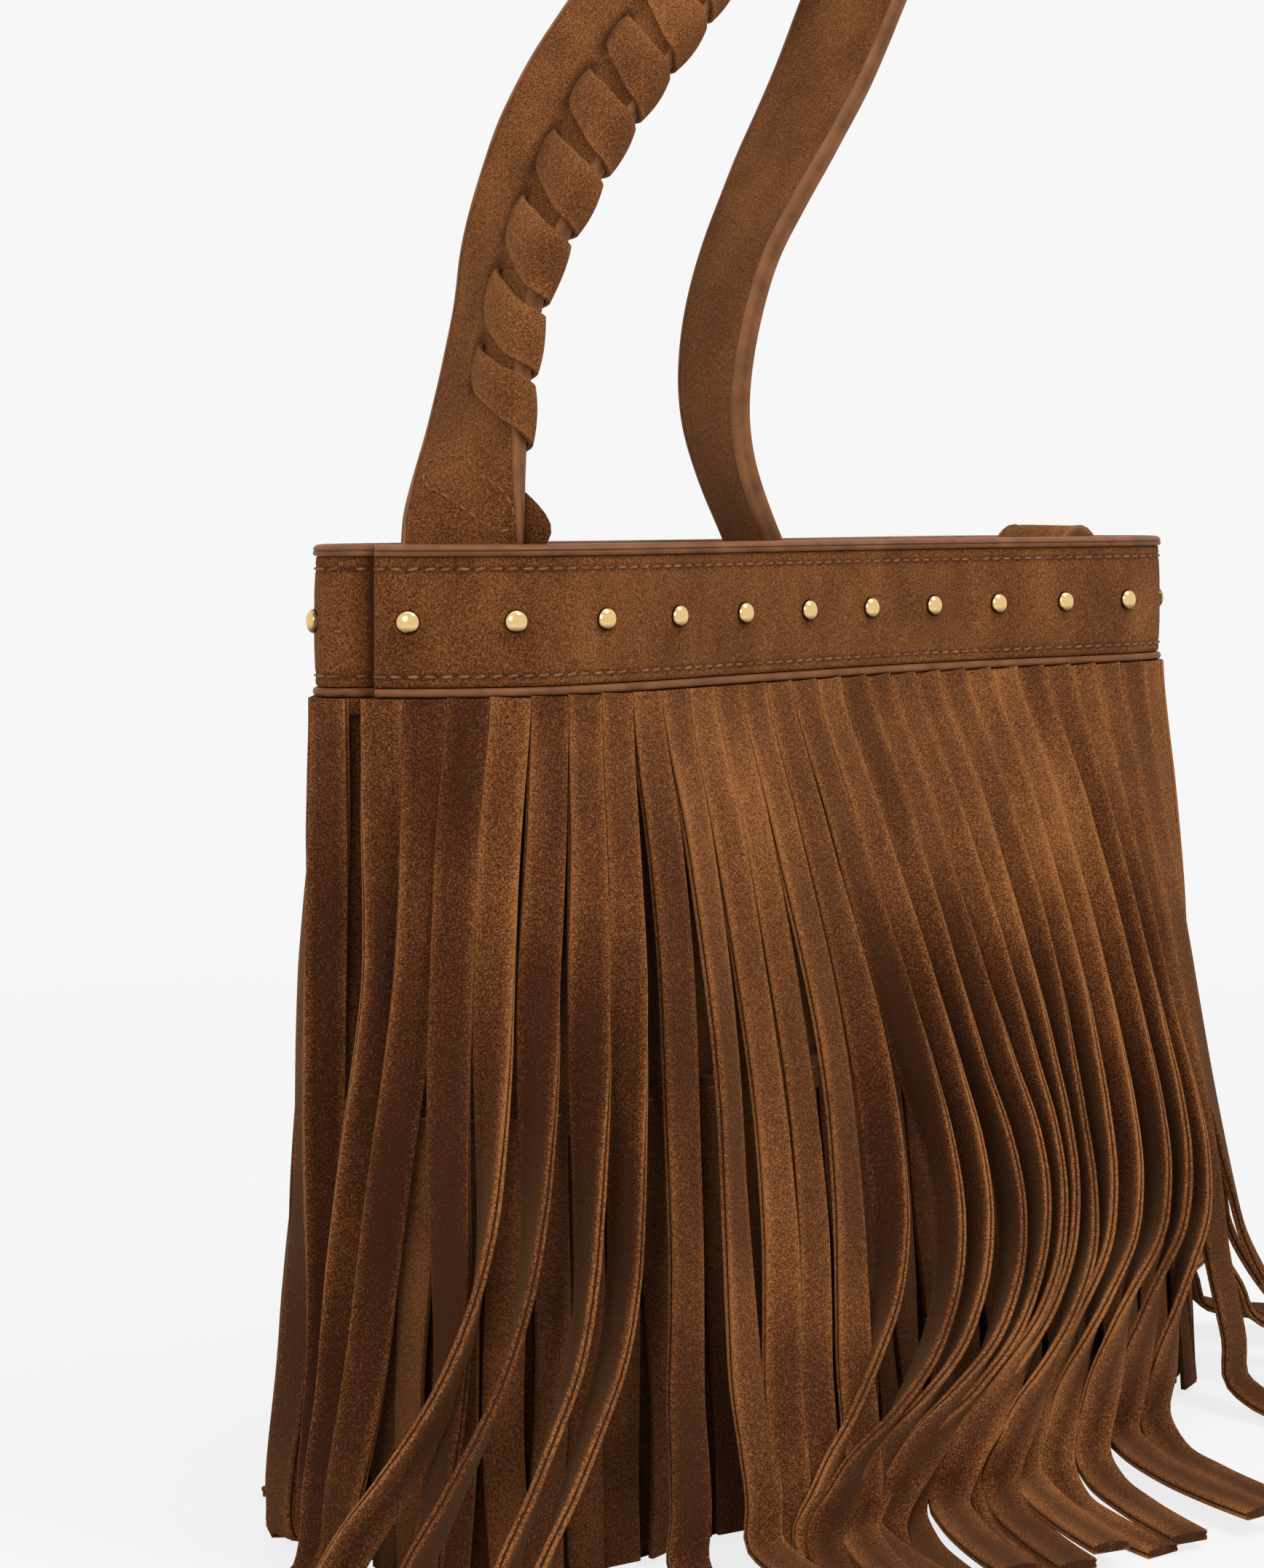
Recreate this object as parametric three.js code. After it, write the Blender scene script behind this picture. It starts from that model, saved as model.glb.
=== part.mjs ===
import * as THREE from 'three';

// A tote bag in suede: a studded band round the mouth, two tiers of fringe over the body,
// an inner lining and a wide shoulder strap laced along one edge.
// Millimetres, +Z up, the front towards -Y, the floor at Z = 0.

// Overall size
const RIM_HEIGHT = 287;
const BASE_WIDTH = 326;
const BASE_DEPTH = 100;
const BASE_CORNER = 30;
const BASE_THICKNESS = 3;

// Wall layers, from the outside in, with the clearance that parts them
const CLEARANCE = 0.3;
const BAND_THICKNESS = 2;
const WALL_THICKNESS = 1.2;
const LINING_THICKNESS = 0.8;
const LINING_TOP_GAP = 1.2;
const WALL_STEPS = 24;

// Band, lip and piping
const BAND_HEIGHT = 40;
const LIP_HEIGHT = 3;
const LIP_PROUD = 0.5;
const PIPING_DIAMETER = 2.6;
const SEAM_GAP = 0.5;
const SEAM_GROOVE = 1.2;
const SEAM_GROOVE_LENGTH = 5;

// Studs
const STUD_DIAMETER = 7;
const STUD_HEIGHT = 2.7;
const STUDS_PER_HALF = 12;

// Fringe
const STRIPS_PER_HALF = 30;
const STRIP_WIDTH = 11.4;
const UPPER_STRIP_THICKNESS = 2.2;
const UPPER_STRIP_LENGTH = 318;
const FRINGE_HEADER = 9;
const FRINGE_STAND_OFF = 8;
const STRIP_RIPPLE = 2;
const FLOOR_BEND = 18;
const FLOOR_CLEARANCE = 0.1;
const SWAY_LEFT = 18;
const SWAY_RIGHT = 20;
const SHORTEST_RUN = 16;
const LOWER_TIER_TOP = 131;
const LOWER_STRIP_THICKNESS = 1.6;
const LOWER_TIER_BOTTOM = 2.5;
const LOWER_TIER_LEAN = 1.8;
const STRIP_SEAM_MARGIN = 2;

// Strap, lace and tabs
const STRAP_THICKNESS = 6;
const STRAP_STEP = 12;
const SLIT_FIRST = 97;
const SLIT_COUNT = 10;
const SLIT_PITCH = 23;
const SLIT_LENGTH = 14.6;
const SLIT_CLEARANCE = 0.6;
const LACE_WIDTH = 13;
const LACE_THICKNESS = 1.8;
const LACE_CLEARANCE = 0.95;
const LACE_LEAN = 16;
const TAB_THICKNESS = 2.4;
const TAB_LENGTH_LEFT = 48;
const TAB_LENGTH_RIGHT = 36;
const TAB_INSET = 2;
const TAB_CLEARANCE = 0.6;

// Materials
const suede = new THREE.MeshStandardMaterial({ color: 0x8a5630, roughness: 0.95 });
const darkSuede = new THREE.MeshStandardMaterial({ color: 0x6f4324, roughness: 0.95 });
const paintedEdge = new THREE.MeshStandardMaterial({ color: 0x96693f, roughness: 0.6 });
const liningCloth = new THREE.MeshStandardMaterial({ color: 0x6a4a30, roughness: 0.9 });
const gold = new THREE.MeshStandardMaterial({ color: 0xd9b871, roughness: 0.2, metalness: 1 });

// Plan of the mouth, front half, from the left side seam to the right one.
// The back half is the same curve turned half round.
const RIM_PLAN = [
  [-168, 0], [-146, -18], [-124, -28], [-95, -30], [-40, -24.5], [20, -19],
  [70, -18], [115, -22], [150, -23.5], [166, -19.5], [171.5, -11], [168, 0],
];

const rimCurve = new THREE.CatmullRomCurve3(
  RIM_PLAN.map(([x, y]) => new THREE.Vector3(x, y, 0)), false, 'centripetal');
rimCurve.arcLengthDivisions = 600;
const rimLength = rimCurve.getLength();

// Plan of the base, front half, as a rounded rectangle
function basePath() {
  const halfWidth = BASE_WIDTH / 2;
  const halfDepth = BASE_DEPTH / 2;
  const inset = halfWidth - BASE_CORNER;
  const path = new THREE.Path();
  path.moveTo(-halfWidth, 0);
  path.lineTo(-halfWidth, -halfDepth + BASE_CORNER);
  path.absarc(-inset, -halfDepth + BASE_CORNER, BASE_CORNER, Math.PI, 1.5 * Math.PI, false);
  path.absarc(inset, -halfDepth + BASE_CORNER, BASE_CORNER, 1.5 * Math.PI, 2 * Math.PI, false);
  path.lineTo(halfWidth, 0);
  return path;
}

const baseCurve = basePath();
const baseLength = baseCurve.getLength();

const smooth = (low, high, x) => THREE.MathUtils.smoothstep(x, low, high);
const mix = THREE.MathUtils.lerp;

// Side profile of the wall: height, and the share of the base's plan in the wall there.
// The wall is straight between these heights.
const WALL_PROFILE = [
  [RIM_HEIGHT - BAND_HEIGHT, 0], [190, 0.2], [LOWER_TIER_TOP, 0.52], [60, 0.88], [0, 1],
];

function spread(z) {
  const low = WALL_PROFILE.findIndex(([height]) => height <= z);
  if (low === 0) {
    return 0;
  }
  const [topHeight, topShare] = WALL_PROFILE[low - 1];
  const [lowHeight, lowShare] = WALL_PROFILE[low];
  return mix(lowShare, topShare, (z - lowHeight) / (topHeight - lowHeight));
}

// Point of the outer wall's plan: u runs from 0 to 1 over one half
function wallPoint(u, z) {
  const rim = rimCurve.getPointAt(u);
  const base = baseCurve.getPointAt(u);
  const share = spread(z);
  return new THREE.Vector2(mix(rim.x, base.x, share), mix(rim.y, base.y, share));
}

function wallTangent(u, z) {
  const step = 0.002;
  const before = wallPoint(Math.max(u - step, 0), z);
  const after = wallPoint(Math.min(u + step, 1), z);
  return after.sub(before).normalize();
}

// Outward direction in plan. At a side seam it is the mitre between the two halves,
// lengthened so that a layer keeps its thickness.
function wallNormal(u, z) {
  const tangent = wallTangent(u, z);
  const own = new THREE.Vector2(tangent.y, -tangent.x);
  if (u > 0 && u < 1) {
    return own;
  }
  const other = wallTangent(1 - u, z);
  const mitre = new THREE.Vector2(-other.y, other.x).add(own).normalize();
  return mitre.multiplyScalar(1 / mitre.dot(own));
}

const FRONT = 1;
const BACK = -1;

// A place moved past a side seam lies on the other half
function wrap(half, u) {
  if (u < 0) {
    return [-half, u + 1];
  }
  return u > 1 ? [-half, u - 1] : [half, u];
}

// A place on a half: offset is measured outwards from the band's face, along moves it
// sideways in plan
function onWall(half, u, z, offset, along = 0) {
  const point = wallPoint(u, z);
  point.addScaledVector(wallNormal(u, z), offset);
  point.addScaledVector(wallTangent(u, z), along);
  return new THREE.Vector3(half * point.x, half * point.y, z);
}

// Ends of a half stop short of the seam by half its gap
function seamShift(u) {
  if (u === 0) {
    return SEAM_GAP / 2;
  }
  return u === 1 ? -SEAM_GAP / 2 : 0;
}

const seamGroove = (u) => (u === 0 || u === 1 ? -SEAM_GROOVE : 0);

function solid(vertices, faces) {
  const geometry = new THREE.BufferGeometry();
  const flat = vertices.flatMap((v) => [v.x, v.y, v.z]);
  geometry.setAttribute('position', new THREE.Float32BufferAttribute(flat, 3));
  geometry.setIndex(faces);
  geometry.computeVertexNormals();
  return geometry;
}

// A sheet of cells closed into one solid. place(i, j, side) gives the corner of column i and
// row j on the outer (1) or inner (0) face, and present(i, j) says whether a cell is there.
function cellSheet(columns, rows, present, place) {
  const vertices = [];
  const numbers = new Map();
  const corner = (i, j, side) => {
    const key = (i * rows + j) * 2 + side;
    if (!numbers.has(key)) {
      numbers.set(key, vertices.length);
      vertices.push(place(i, j, side));
    }
    return numbers.get(key);
  };
  const faces = [];
  const quad = (a, b, c, d) => faces.push(a, b, c, a, c, d);
  const filled = (i, j) => (
    i >= 0 && j >= 0 && i < columns - 1 && j < rows - 1 && present(i, j));
  const wall = (i0, j0, i1, j1) => quad(
    corner(i0, j0, 1), corner(i0, j0, 0), corner(i1, j1, 0), corner(i1, j1, 1));
  for (let i = 0; i < columns - 1; i += 1) {
    for (let j = 0; j < rows - 1; j += 1) {
      if (filled(i, j)) {
        quad(corner(i, j, 1), corner(i, j + 1, 1), corner(i + 1, j + 1, 1), corner(i + 1, j, 1));
        quad(corner(i, j, 0), corner(i + 1, j, 0), corner(i + 1, j + 1, 0), corner(i, j + 1, 0));
        if (!filled(i - 1, j)) wall(i, j, i, j + 1);
        if (!filled(i + 1, j)) wall(i + 1, j + 1, i + 1, j);
        if (!filled(i, j - 1)) wall(i + 1, j, i, j);
        if (!filled(i, j + 1)) wall(i, j + 1, i + 1, j + 1);
      }
    }
  }
  return solid(vertices, faces);
}

// A solid lofted through rings of equal count, with flat ends
function loft(rings) {
  const count = rings[0].length;
  const faces = [];
  for (let k = 0; k < rings.length - 1; k += 1) {
    for (let i = 0; i < count; i += 1) {
      const a = k * count + i;
      const b = k * count + ((i + 1) % count);
      faces.push(a, b, b + count, a, b + count, a + count);
    }
  }
  const last = (rings.length - 1) * count;
  for (let i = 1; i < count - 1; i += 1) {
    faces.push(0, i + 1, i);
    faces.push(last, last + i, last + i + 1);
  }
  return solid(rings.flat(), faces);
}

const bag = new THREE.Group();

function addPiece(name, geometry, material) {
  const mesh = new THREE.Mesh(geometry, material);
  mesh.name = name;
  bag.add(mesh);
  return mesh;
}

// Columns along a half, the same for every layer: even steps, with one more near each seam
// for the groove
function halfColumns() {
  const end = SEAM_GROOVE_LENGTH / rimLength;
  const even = Array.from({ length: WALL_STEPS - 1 }, (_, i) => (i + 1) / WALL_STEPS);
  return [0, end, ...even, 1 - end, 1];
}

const wallColumns = halfColumns();

// Offsets of the layers' faces from the band's outer face
const wallOuter = -(BAND_THICKNESS + CLEARANCE);
const wallInner = wallOuter - WALL_THICKNESS;
const liningOuter = wallInner - CLEARANCE;
const liningInner = liningOuter - LINING_THICKNESS;
const wallTop = RIM_HEIGHT - LIP_HEIGHT - CLEARANCE;
const bandBottom = RIM_HEIGHT - BAND_HEIGHT;

// A plain layer of a half between two faces, over a list of heights
function layer(half, heights, outer, inner, groove) {
  return cellSheet(wallColumns.length, heights.length, () => true, (i, j, side) => {
    const u = wallColumns[i];
    const dip = groove ? seamGroove(u) : 0;
    const offset = side === 1 ? outer + dip : inner;
    return onWall(half, u, heights[j], offset, seamShift(u));
  });
}

// A rounded bead carried along a half: section points are [outward offset, height]
function bead(half, section, groove) {
  const rings = wallColumns.map((u) => section.map(([offset, z]) => (
    onWall(half, u, z, offset + groove * seamGroove(u), seamShift(u)))).reverse());
  return loft(rings);
}

const lipBottom = RIM_HEIGHT - LIP_HEIGHT;
const lipMiddle = (LIP_PROUD + liningInner) / 2;
const LIP_SECTION = [
  [LIP_PROUD - 0.3, lipBottom], [LIP_PROUD, lipBottom + 1.4], [lipMiddle + 1.2, RIM_HEIGHT],
  [lipMiddle - 1.2, RIM_HEIGHT], [liningInner - LIP_PROUD, lipBottom + 1.4],
  [liningInner - LIP_PROUD + 0.3, lipBottom],
];

const pipingRadius = PIPING_DIAMETER / 2;
const pipingHeight = bandBottom - CLEARANCE - pipingRadius;
const fringeTop = pipingHeight - pipingRadius - CLEARANCE;
const fringeCut = fringeTop - FRINGE_HEADER;
const lowerCut = LOWER_TIER_TOP - FRINGE_HEADER;
const pipingOffset = wallOuter + CLEARANCE + pipingRadius;
const PIPING_SECTION = Array.from({ length: 6 }, (_, i) => {
  const angle = (i * Math.PI) / 3;
  return [pipingOffset + pipingRadius * Math.cos(angle),
    pipingHeight + pipingRadius * Math.sin(angle)];
});

// Heights at which the body's layers bend
const wallRows = WALL_PROFILE.slice(0, -1).map(([height]) => height);

function addMouth(half, name) {
  const bandHeights = [wallTop, bandBottom];
  const wallHeights = [wallTop, ...wallRows, BASE_THICKNESS / 3];
  addPiece(`${name}_rim_band`, layer(half, bandHeights, 0, -BAND_THICKNESS, true), suede);
  addPiece(`${name}_body_panel`, layer(half, wallHeights, wallOuter, wallInner, false), darkSuede);
  addPiece(`${name}_top_lip`, bead(half, LIP_SECTION, 0.5), paintedEdge);
  addPiece(`${name}_bottom_piping`, bead(half, PIPING_SECTION, 0), paintedEdge);
}

// The lining is one open bag: an outer and an inner skin, each closed by a fan at the bottom
function addLining() {
  const loop = [FRONT, BACK].flatMap((half) => wallColumns.slice(0, -1).map((u) => [half, u]));
  const floor = BASE_THICKNESS + CLEARANCE;
  const heights = [wallTop - LINING_TOP_GAP, ...wallRows];
  const outer = [...heights, floor];
  const inner = [...heights, floor + LINING_THICKNESS];
  const vertices = [];
  const ring = (z, offset) => vertices.push(
    ...loop.map(([half, u]) => onWall(half, u, z, offset)));
  outer.forEach((z) => ring(z, liningOuter));
  inner.forEach((z) => ring(z, liningInner));
  const count = loop.length;
  const rows = outer.length;
  const outerCentre = vertices.push(new THREE.Vector3(0, 0, floor)) - 1;
  const innerCentre = vertices.push(new THREE.Vector3(0, 0, floor + LINING_THICKNESS)) - 1;
  const faces = [];
  for (let i = 0; i < count; i += 1) {
    const n = (i + 1) % count;
    for (let j = 0; j < rows - 1; j += 1) {
      const a = j * count;
      const b = a + count;
      faces.push(a + i, b + i, b + n, a + i, b + n, a + n);
      const c = (rows + j) * count;
      const d = c + count;
      faces.push(c + i, d + n, d + i, c + i, c + n, d + n);
    }
    const inTop = rows * count;
    faces.push(i, n, inTop + n, i, inTop + n, inTop + i);
    const outLow = (rows - 1) * count;
    const inLow = (2 * rows - 1) * count;
    faces.push(outerCentre, outLow + n, outLow + i);
    faces.push(innerCentre, inLow + i, inLow + n);
  }
  addPiece('lining', solid(vertices, faces), liningCloth);
}

function addBase() {
  const outline = [FRONT, BACK].flatMap((half) => wallColumns.slice(0, -1).map((u) => {
    const point = onWall(half, u, 0, wallInner - CLEARANCE);
    return new THREE.Vector2(point.x, point.y);
  }));
  const shape = new THREE.Shape(outline);
  const geometry = new THREE.ExtrudeGeometry(shape, { depth: BASE_THICKNESS, bevelEnabled: false });
  addPiece('base_panel', geometry, darkSuede);
}

function addStuds(half, name) {
  const radius = STUD_DIAMETER / 2;
  const profile = [
    [0, STUD_HEIGHT], [0.55 * radius, 0.84 * STUD_HEIGHT], [0.88 * radius, 0.46 * STUD_HEIGHT],
    [radius, 0], [0, 0],
  ].map(([r, h]) => new THREE.Vector2(r, h)).reverse();
  const height = (wallTop + bandBottom) / 2;
  for (let k = 0; k < STUDS_PER_HALF; k += 1) {
    const u = (k + 0.5) / STUDS_PER_HALF;
    const normal = wallNormal(u, height).multiplyScalar(half);
    const mesh = addPiece(`stud_${name}_${String(k + 1).padStart(2, '0')}`,
      new THREE.LatheGeometry(profile, 10), gold);
    mesh.position.copy(onWall(half, u, height, CLEARANCE));
    mesh.quaternion.setFromUnitVectors(
      new THREE.Vector3(0, 1, 0), new THREE.Vector3(normal.x, normal.y, 0));
  }
}

// Sideways sway of the upper fringe. The strips part in the middle of the front, lean left
// near the floor on one side and bow to the right on the other.
function sway(share, v) {
  const left = -SWAY_LEFT * smooth(0.35, 0.9, v);
  const right = SWAY_RIGHT * (smooth(0.1, 0.6, v) - smooth(0.6, 1, v));
  return mix(left, right, smooth(0, 1, share));
}

// Strip rows: share of the drop for the hanging rows, then the turn on to the floor
const HANGING_ROWS = [0, 0.2, 0.42, 0.64, 0.84, 1];
const FLOOR_TURNS = [45, 90];

// Middle of a strip along its half. The first and last strips stand off the side seams.
function stripPlace(index) {
  const margin = STRIP_SEAM_MARGIN / rimLength;
  return mix(margin, 1 - margin, (index + 0.5) / STRIPS_PER_HALF);
}

// One strip of the upper fringe as a list of rows, each with a centre, a side and a normal
function stripRows(half, index, top) {
  const u = stripPlace(index);
  const share = half === FRONT ? u : 1 - u;
  const halfThickness = UPPER_STRIP_THICKNESS / 2;
  const floorLine = FLOOR_CLEARANCE + halfThickness;
  const bendTop = floorLine + FLOOR_BEND;
  const start = wallOuter + CLEARANCE + halfThickness;
  const ripple = STRIP_RIPPLE * Math.sin(1.9 * index + half);
  const hanging = HANGING_ROWS.map((v) => {
    const z = mix(top, bendTop, v);
    const offset = start + FRINGE_STAND_OFF * Math.sin(0.5 * Math.PI * Math.min(2 * v, 1))
      + ripple * Math.sin(Math.PI * v);
    return { z, offset, v, turn: 0 };
  });
  const drop = top - bendTop;
  const bendLength = 0.5 * Math.PI * FLOOR_BEND;
  const fullRun = UPPER_STRIP_LENGTH - drop - bendLength;
  const run = mix(SHORTEST_RUN, fullRun, smooth(0, 0.22, share));
  const foot = start + FRINGE_STAND_OFF;
  const turning = FLOOR_TURNS.map((degrees) => {
    const turn = THREE.MathUtils.degToRad(degrees);
    return {
      z: bendTop - FLOOR_BEND * Math.sin(turn),
      offset: foot + FLOOR_BEND * (1 - Math.cos(turn)),
      v: 1,
      turn,
    };
  });
  const end = { z: floorLine, offset: foot + FLOOR_BEND + run, v: 1, turn: Math.PI / 2 };
  return [...hanging, ...turning, end].map(({ z, offset, v, turn }) => {
    const [own, shifted] = wrap(half, u + sway(share, v) / baseLength);
    const plan = turn > 0 ? 0 : z;
    const outward = wallNormal(shifted, plan).multiplyScalar(own);
    const tangent = wallTangent(shifted, plan).multiplyScalar(own);
    const point = wallPoint(shifted, plan).multiplyScalar(own).addScaledVector(outward, offset);
    return {
      centre: new THREE.Vector3(point.x, point.y, z),
      side: new THREE.Vector3(tangent.x, tangent.y, 0),
      normal: new THREE.Vector3(
        outward.x * Math.cos(turn), outward.y * Math.cos(turn), Math.sin(turn)),
    };
  });
}

// Fringe columns come in pairs, the left and right edge of each strip. The header joins them.
function addUpperFringe(half, name) {
  const strips = Array.from({ length: STRIPS_PER_HALF }, (_, k) => stripRows(half, k, fringeCut));
  const rows = strips[0].length + 1;
  const columns = 2 * STRIPS_PER_HALF;
  const halfThickness = UPPER_STRIP_THICKNESS / 2;
  const headerOffset = wallOuter + CLEARANCE + halfThickness;
  const geometry = cellSheet(columns, rows, (i, j) => j === 0 || i % 2 === 0, (i, j, side) => {
    const k = Math.floor(i / 2);
    const edge = (i % 2 === 0 ? -0.5 : 0.5) * STRIP_WIDTH;
    const face = (side === 1 ? 1 : -1) * halfThickness;
    if (j === 0) {
      return onWall(half, stripPlace(k), fringeTop, headerOffset + face, edge);
    }
    const row = strips[k][j - 1];
    return row.centre.clone().addScaledVector(row.side, edge).addScaledVector(row.normal, face);
  });
  addPiece(`upper_fringe_${name}`, geometry, suede);
}

function addLowerFringe(half, name) {
  const heights = [LOWER_TIER_TOP, lowerCut, 60, LOWER_TIER_BOTTOM];
  const inner = wallOuter + CLEARANCE;
  const geometry = cellSheet(2 * STRIPS_PER_HALF, heights.length,
    (i, j) => j === 0 || i % 2 === 0, (i, j, side) => {
      const k = Math.floor(i / 2);
      const edge = (i % 2 === 0 ? -0.5 : 0.5) * STRIP_WIDTH;
      const lean = LOWER_TIER_LEAN * (1 - heights[j] / LOWER_TIER_TOP);
      const offset = inner + lean + side * LOWER_STRIP_THICKNESS;
      return onWall(half, stripPlace(k), heights[j], offset, edge);
    });
  addPiece(`lower_fringe_${name}`, geometry, darkSuede);
}

// Route of the strap from its left end, up, over the top, down into the mouth and up to its
// right end: x, y, height over the rim, bearing of the front edge in degrees, width
const STRAP_ROUTE = [
  [-138.3, -11.2, -42, -31, 30], [-138.3, -11.2, -18, -31, 30], [-137, -9.7, 0, -35, 30],
  [-134, -7.5, 18, -50, 33], [-127.5, -3, 34, -72, 35], [-120.5, 0, 50, -92, 36],
  [-115.7, 0, 70, -95, 37], [-110, 0, 88, -84, 38], [-101.6, 0, 105, -74, 39],
  [-91, 0, 124, -64, 40], [-77, 0, 143, -54, 40], [-58, 0, 165, -48, 40],
  [-33, 0, 195, -50, 40], [-8, 0, 223, -58, 40], [14, 0, 238, -68, 40],
  [36, 0, 234, -76, 40], [47, 0, 216, -80, 40], [43, 0, 194, -82, 40],
  [33, 0, 175, -83, 40], [18, 0, 147, -84, 39], [3, 0, 124, -87, 38],
  [-9, 0, 105, -93, 37], [-19, 0, 88, -98, 36], [-25.6, 0, 70, -100, 36],
  [-29, 0, 52.6, -102, 35], [-29, 0, 37.4, -105, 34], [-24.6, -0.5, 21.4, -108, 32],
  [-13.3, -0.9, 0, -109, 30], [0, 0, -20, -104, 30], [22, 2, -44, -95, 30],
  [52, 3.5, -58, -90, 30], [84, 4, -50, -90, 30], [107, 3, -28, -90, 30],
  [119.5, 1.5, -10, -90, 30], [123.5, 1, 0, -90, 30], [129.5, 0.5, 3.4, -90, 30],
  [135.5, 0, 0, -90, 30], [138, -0.5, -12, -90, 30], [138.5, -0.5, -40, -90, 30],
];

const strapCurve = new THREE.CatmullRomCurve3(
  STRAP_ROUTE.map(([x, y, z]) => new THREE.Vector3(x, y, RIM_HEIGHT + z)), false, 'centripetal');
strapCurve.arcLengthDivisions = 1200;
const strapLength = strapCurve.getLength();

// Bearing and width are carried between the route's points along the same parameter
function strapFrame(s) {
  const t = strapCurve.getUtoTmapping(THREE.MathUtils.clamp(s / strapLength, 0, 1));
  const place = t * (STRAP_ROUTE.length - 1);
  const k = Math.min(Math.floor(place), STRAP_ROUTE.length - 2);
  const part = smooth(0, 1, place - k);
  const bearing = THREE.MathUtils.degToRad(mix(STRAP_ROUTE[k][3], STRAP_ROUTE[k + 1][3], part));
  const width = mix(STRAP_ROUTE[k][4], STRAP_ROUTE[k + 1][4], part);
  const tangent = strapCurve.getTangent(t);
  const across = new THREE.Vector3(Math.cos(bearing), Math.sin(bearing), 0);
  across.addScaledVector(tangent, -across.dot(tangent)).normalize();
  const normal = new THREE.Vector3().crossVectors(across, tangent);
  return { centre: strapCurve.getPoint(t), across, normal, width };
}

// A place on the strap: s along it, w across towards the laced edge, n out of its outer face
function onStrap(s, w, n) {
  const frame = strapFrame(s);
  return frame.centre.addScaledVector(frame.across, w).addScaledVector(frame.normal, n);
}

const slitCentres = Array.from({ length: SLIT_COUNT }, (_, k) => SLIT_FIRST + k * SLIT_PITCH);
const slitHalfWidth = LACE_THICKNESS / 2 + SLIT_CLEARANCE;

function strapStations() {
  const cuts = slitCentres.flatMap((s) => [s - SLIT_LENGTH / 2, s + SLIT_LENGTH / 2]);
  const count = Math.round(strapLength / STRAP_STEP);
  const even = Array.from({ length: count + 1 }, (_, i) => (i * strapLength) / count);
  const clear = even.filter((s) => cuts.every((cut) => Math.abs(s - cut) > STRAP_STEP / 3));
  return [...clear, ...cuts].sort((a, b) => a - b);
}

function addStrap() {
  const stations = strapStations();
  const inSlit = (s) => slitCentres.some((centre) => Math.abs(s - centre) < SLIT_LENGTH / 2);
  const geometry = cellSheet(stations.length, 4, (i, j) => (
    j !== 1 || !inSlit((stations[i] + stations[i + 1]) / 2)), (i, j, side) => {
    const s = stations[i];
    const edge = strapFrame(s).width / 2;
    const across = [-edge, -slitHalfWidth, slitHalfWidth, edge][j];
    return onStrap(s, across, (side - 0.5) * STRAP_THICKNESS);
  });
  addPiece('shoulder_strap', geometry, suede);
}

// The lace rises through a slit, leans down over the outer face, turns round the strap's
// edge and goes back behind it to the next slit below.
function laceTurn(centre) {
  const near = STRAP_THICKNESS / 2 + LACE_CLEARANCE;
  const far = near + LACE_THICKNESS;
  const halfLace = LACE_THICKNESS / 2;
  const edge = strapFrame(centre - LACE_LEAN).width / 2;
  const round = edge + LACE_CLEARANCE;
  const back = (SLIT_PITCH + LACE_LEAN) / 2;
  return [
    { s: 0, inner: [halfLace, -near], outer: [-halfLace, -far] },
    { s: 0, inner: [halfLace, near], outer: [-halfLace, far] },
    { s: -LACE_LEAN / 2, inner: [edge / 2, near + 0.4], outer: [edge / 2, far + 0.7] },
    { s: 1 - LACE_LEAN, inner: [edge - 1, near], outer: [edge - 0.5, far] },
    { s: -LACE_LEAN, inner: [round, 0.8 * near], outer: [round + LACE_THICKNESS, 0.6 * far] },
    { s: -LACE_LEAN - 1, inner: [round, -0.8 * near], outer: [round + LACE_THICKNESS, -0.6 * far] },
    { s: -back, inner: [edge - 1, -near], outer: [edge - 0.5, -far] },
  ].map(({ s, inner, outer }) => ({ s: centre + s, inner, outer }));
}

function addLace() {
  const turns = slitCentres.slice().reverse().flatMap(laceTurn);
  const last = turns[turns.length - 1];
  const tail = { s: last.s - 8, inner: [6, last.inner[1]], outer: [6, last.outer[1]] };
  const path = [...turns.slice(1), tail];
  const reach = LACE_WIDTH / 2;
  const rings = path.map(({ s, inner, outer }) => [
    onStrap(s - reach, ...inner), onStrap(s + reach, ...inner),
    onStrap(s + reach, ...outer), onStrap(s - reach, ...outer),
  ]);
  addPiece('edge_lace', loft(rings), suede);
}

// A tab lies behind one end of the strap, and its free end is rounded
function addTab(name, from, to) {
  const count = 6;
  const near = -STRAP_THICKNESS / 2 - TAB_CLEARANCE;
  const geometry = cellSheet(count + 1, 2, () => true, (i, j, side) => {
    const share = i / count;
    const s = mix(from, to, share);
    const round = Math.sqrt(Math.max(1 - Math.max((share - 0.7) / 0.3, 0) ** 2 * 0.8, 0.2));
    const edge = (strapFrame(s).width / 2 - TAB_INSET) * round * (j === 0 ? -1 : 1);
    return onStrap(s, from < to ? edge : -edge, near - (1 - side) * TAB_THICKNESS);
  });
  addPiece(name, geometry, darkSuede);
}

[[FRONT, 'front'], [BACK, 'back']].forEach(([half, name]) => {
  addMouth(half, name);
  addUpperFringe(half, name);
  addLowerFringe(half, name);
  addStuds(half, name);
});
addLining();
addBase();
addStrap();
addLace();
addTab('strap_tab_left', 0, TAB_LENGTH_LEFT);
addTab('strap_tab_right', strapLength, strapLength - TAB_LENGTH_RIGHT);

export default bag;
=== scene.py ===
"""Finished surfaces of a fringed suede bag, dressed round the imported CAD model.

Lengths are in millimetres everywhere in this file and become metres when a mesh is made.
The origin is on the floor under the middle of the bag, with X along its mouth from the laced
strap end on the left to the fringe's pool on the right, and the front of the bag towards -Y.
"""

from __future__ import annotations

import logging
from dataclasses import dataclass, field
from enum import Enum
from typing import Sequence

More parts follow.
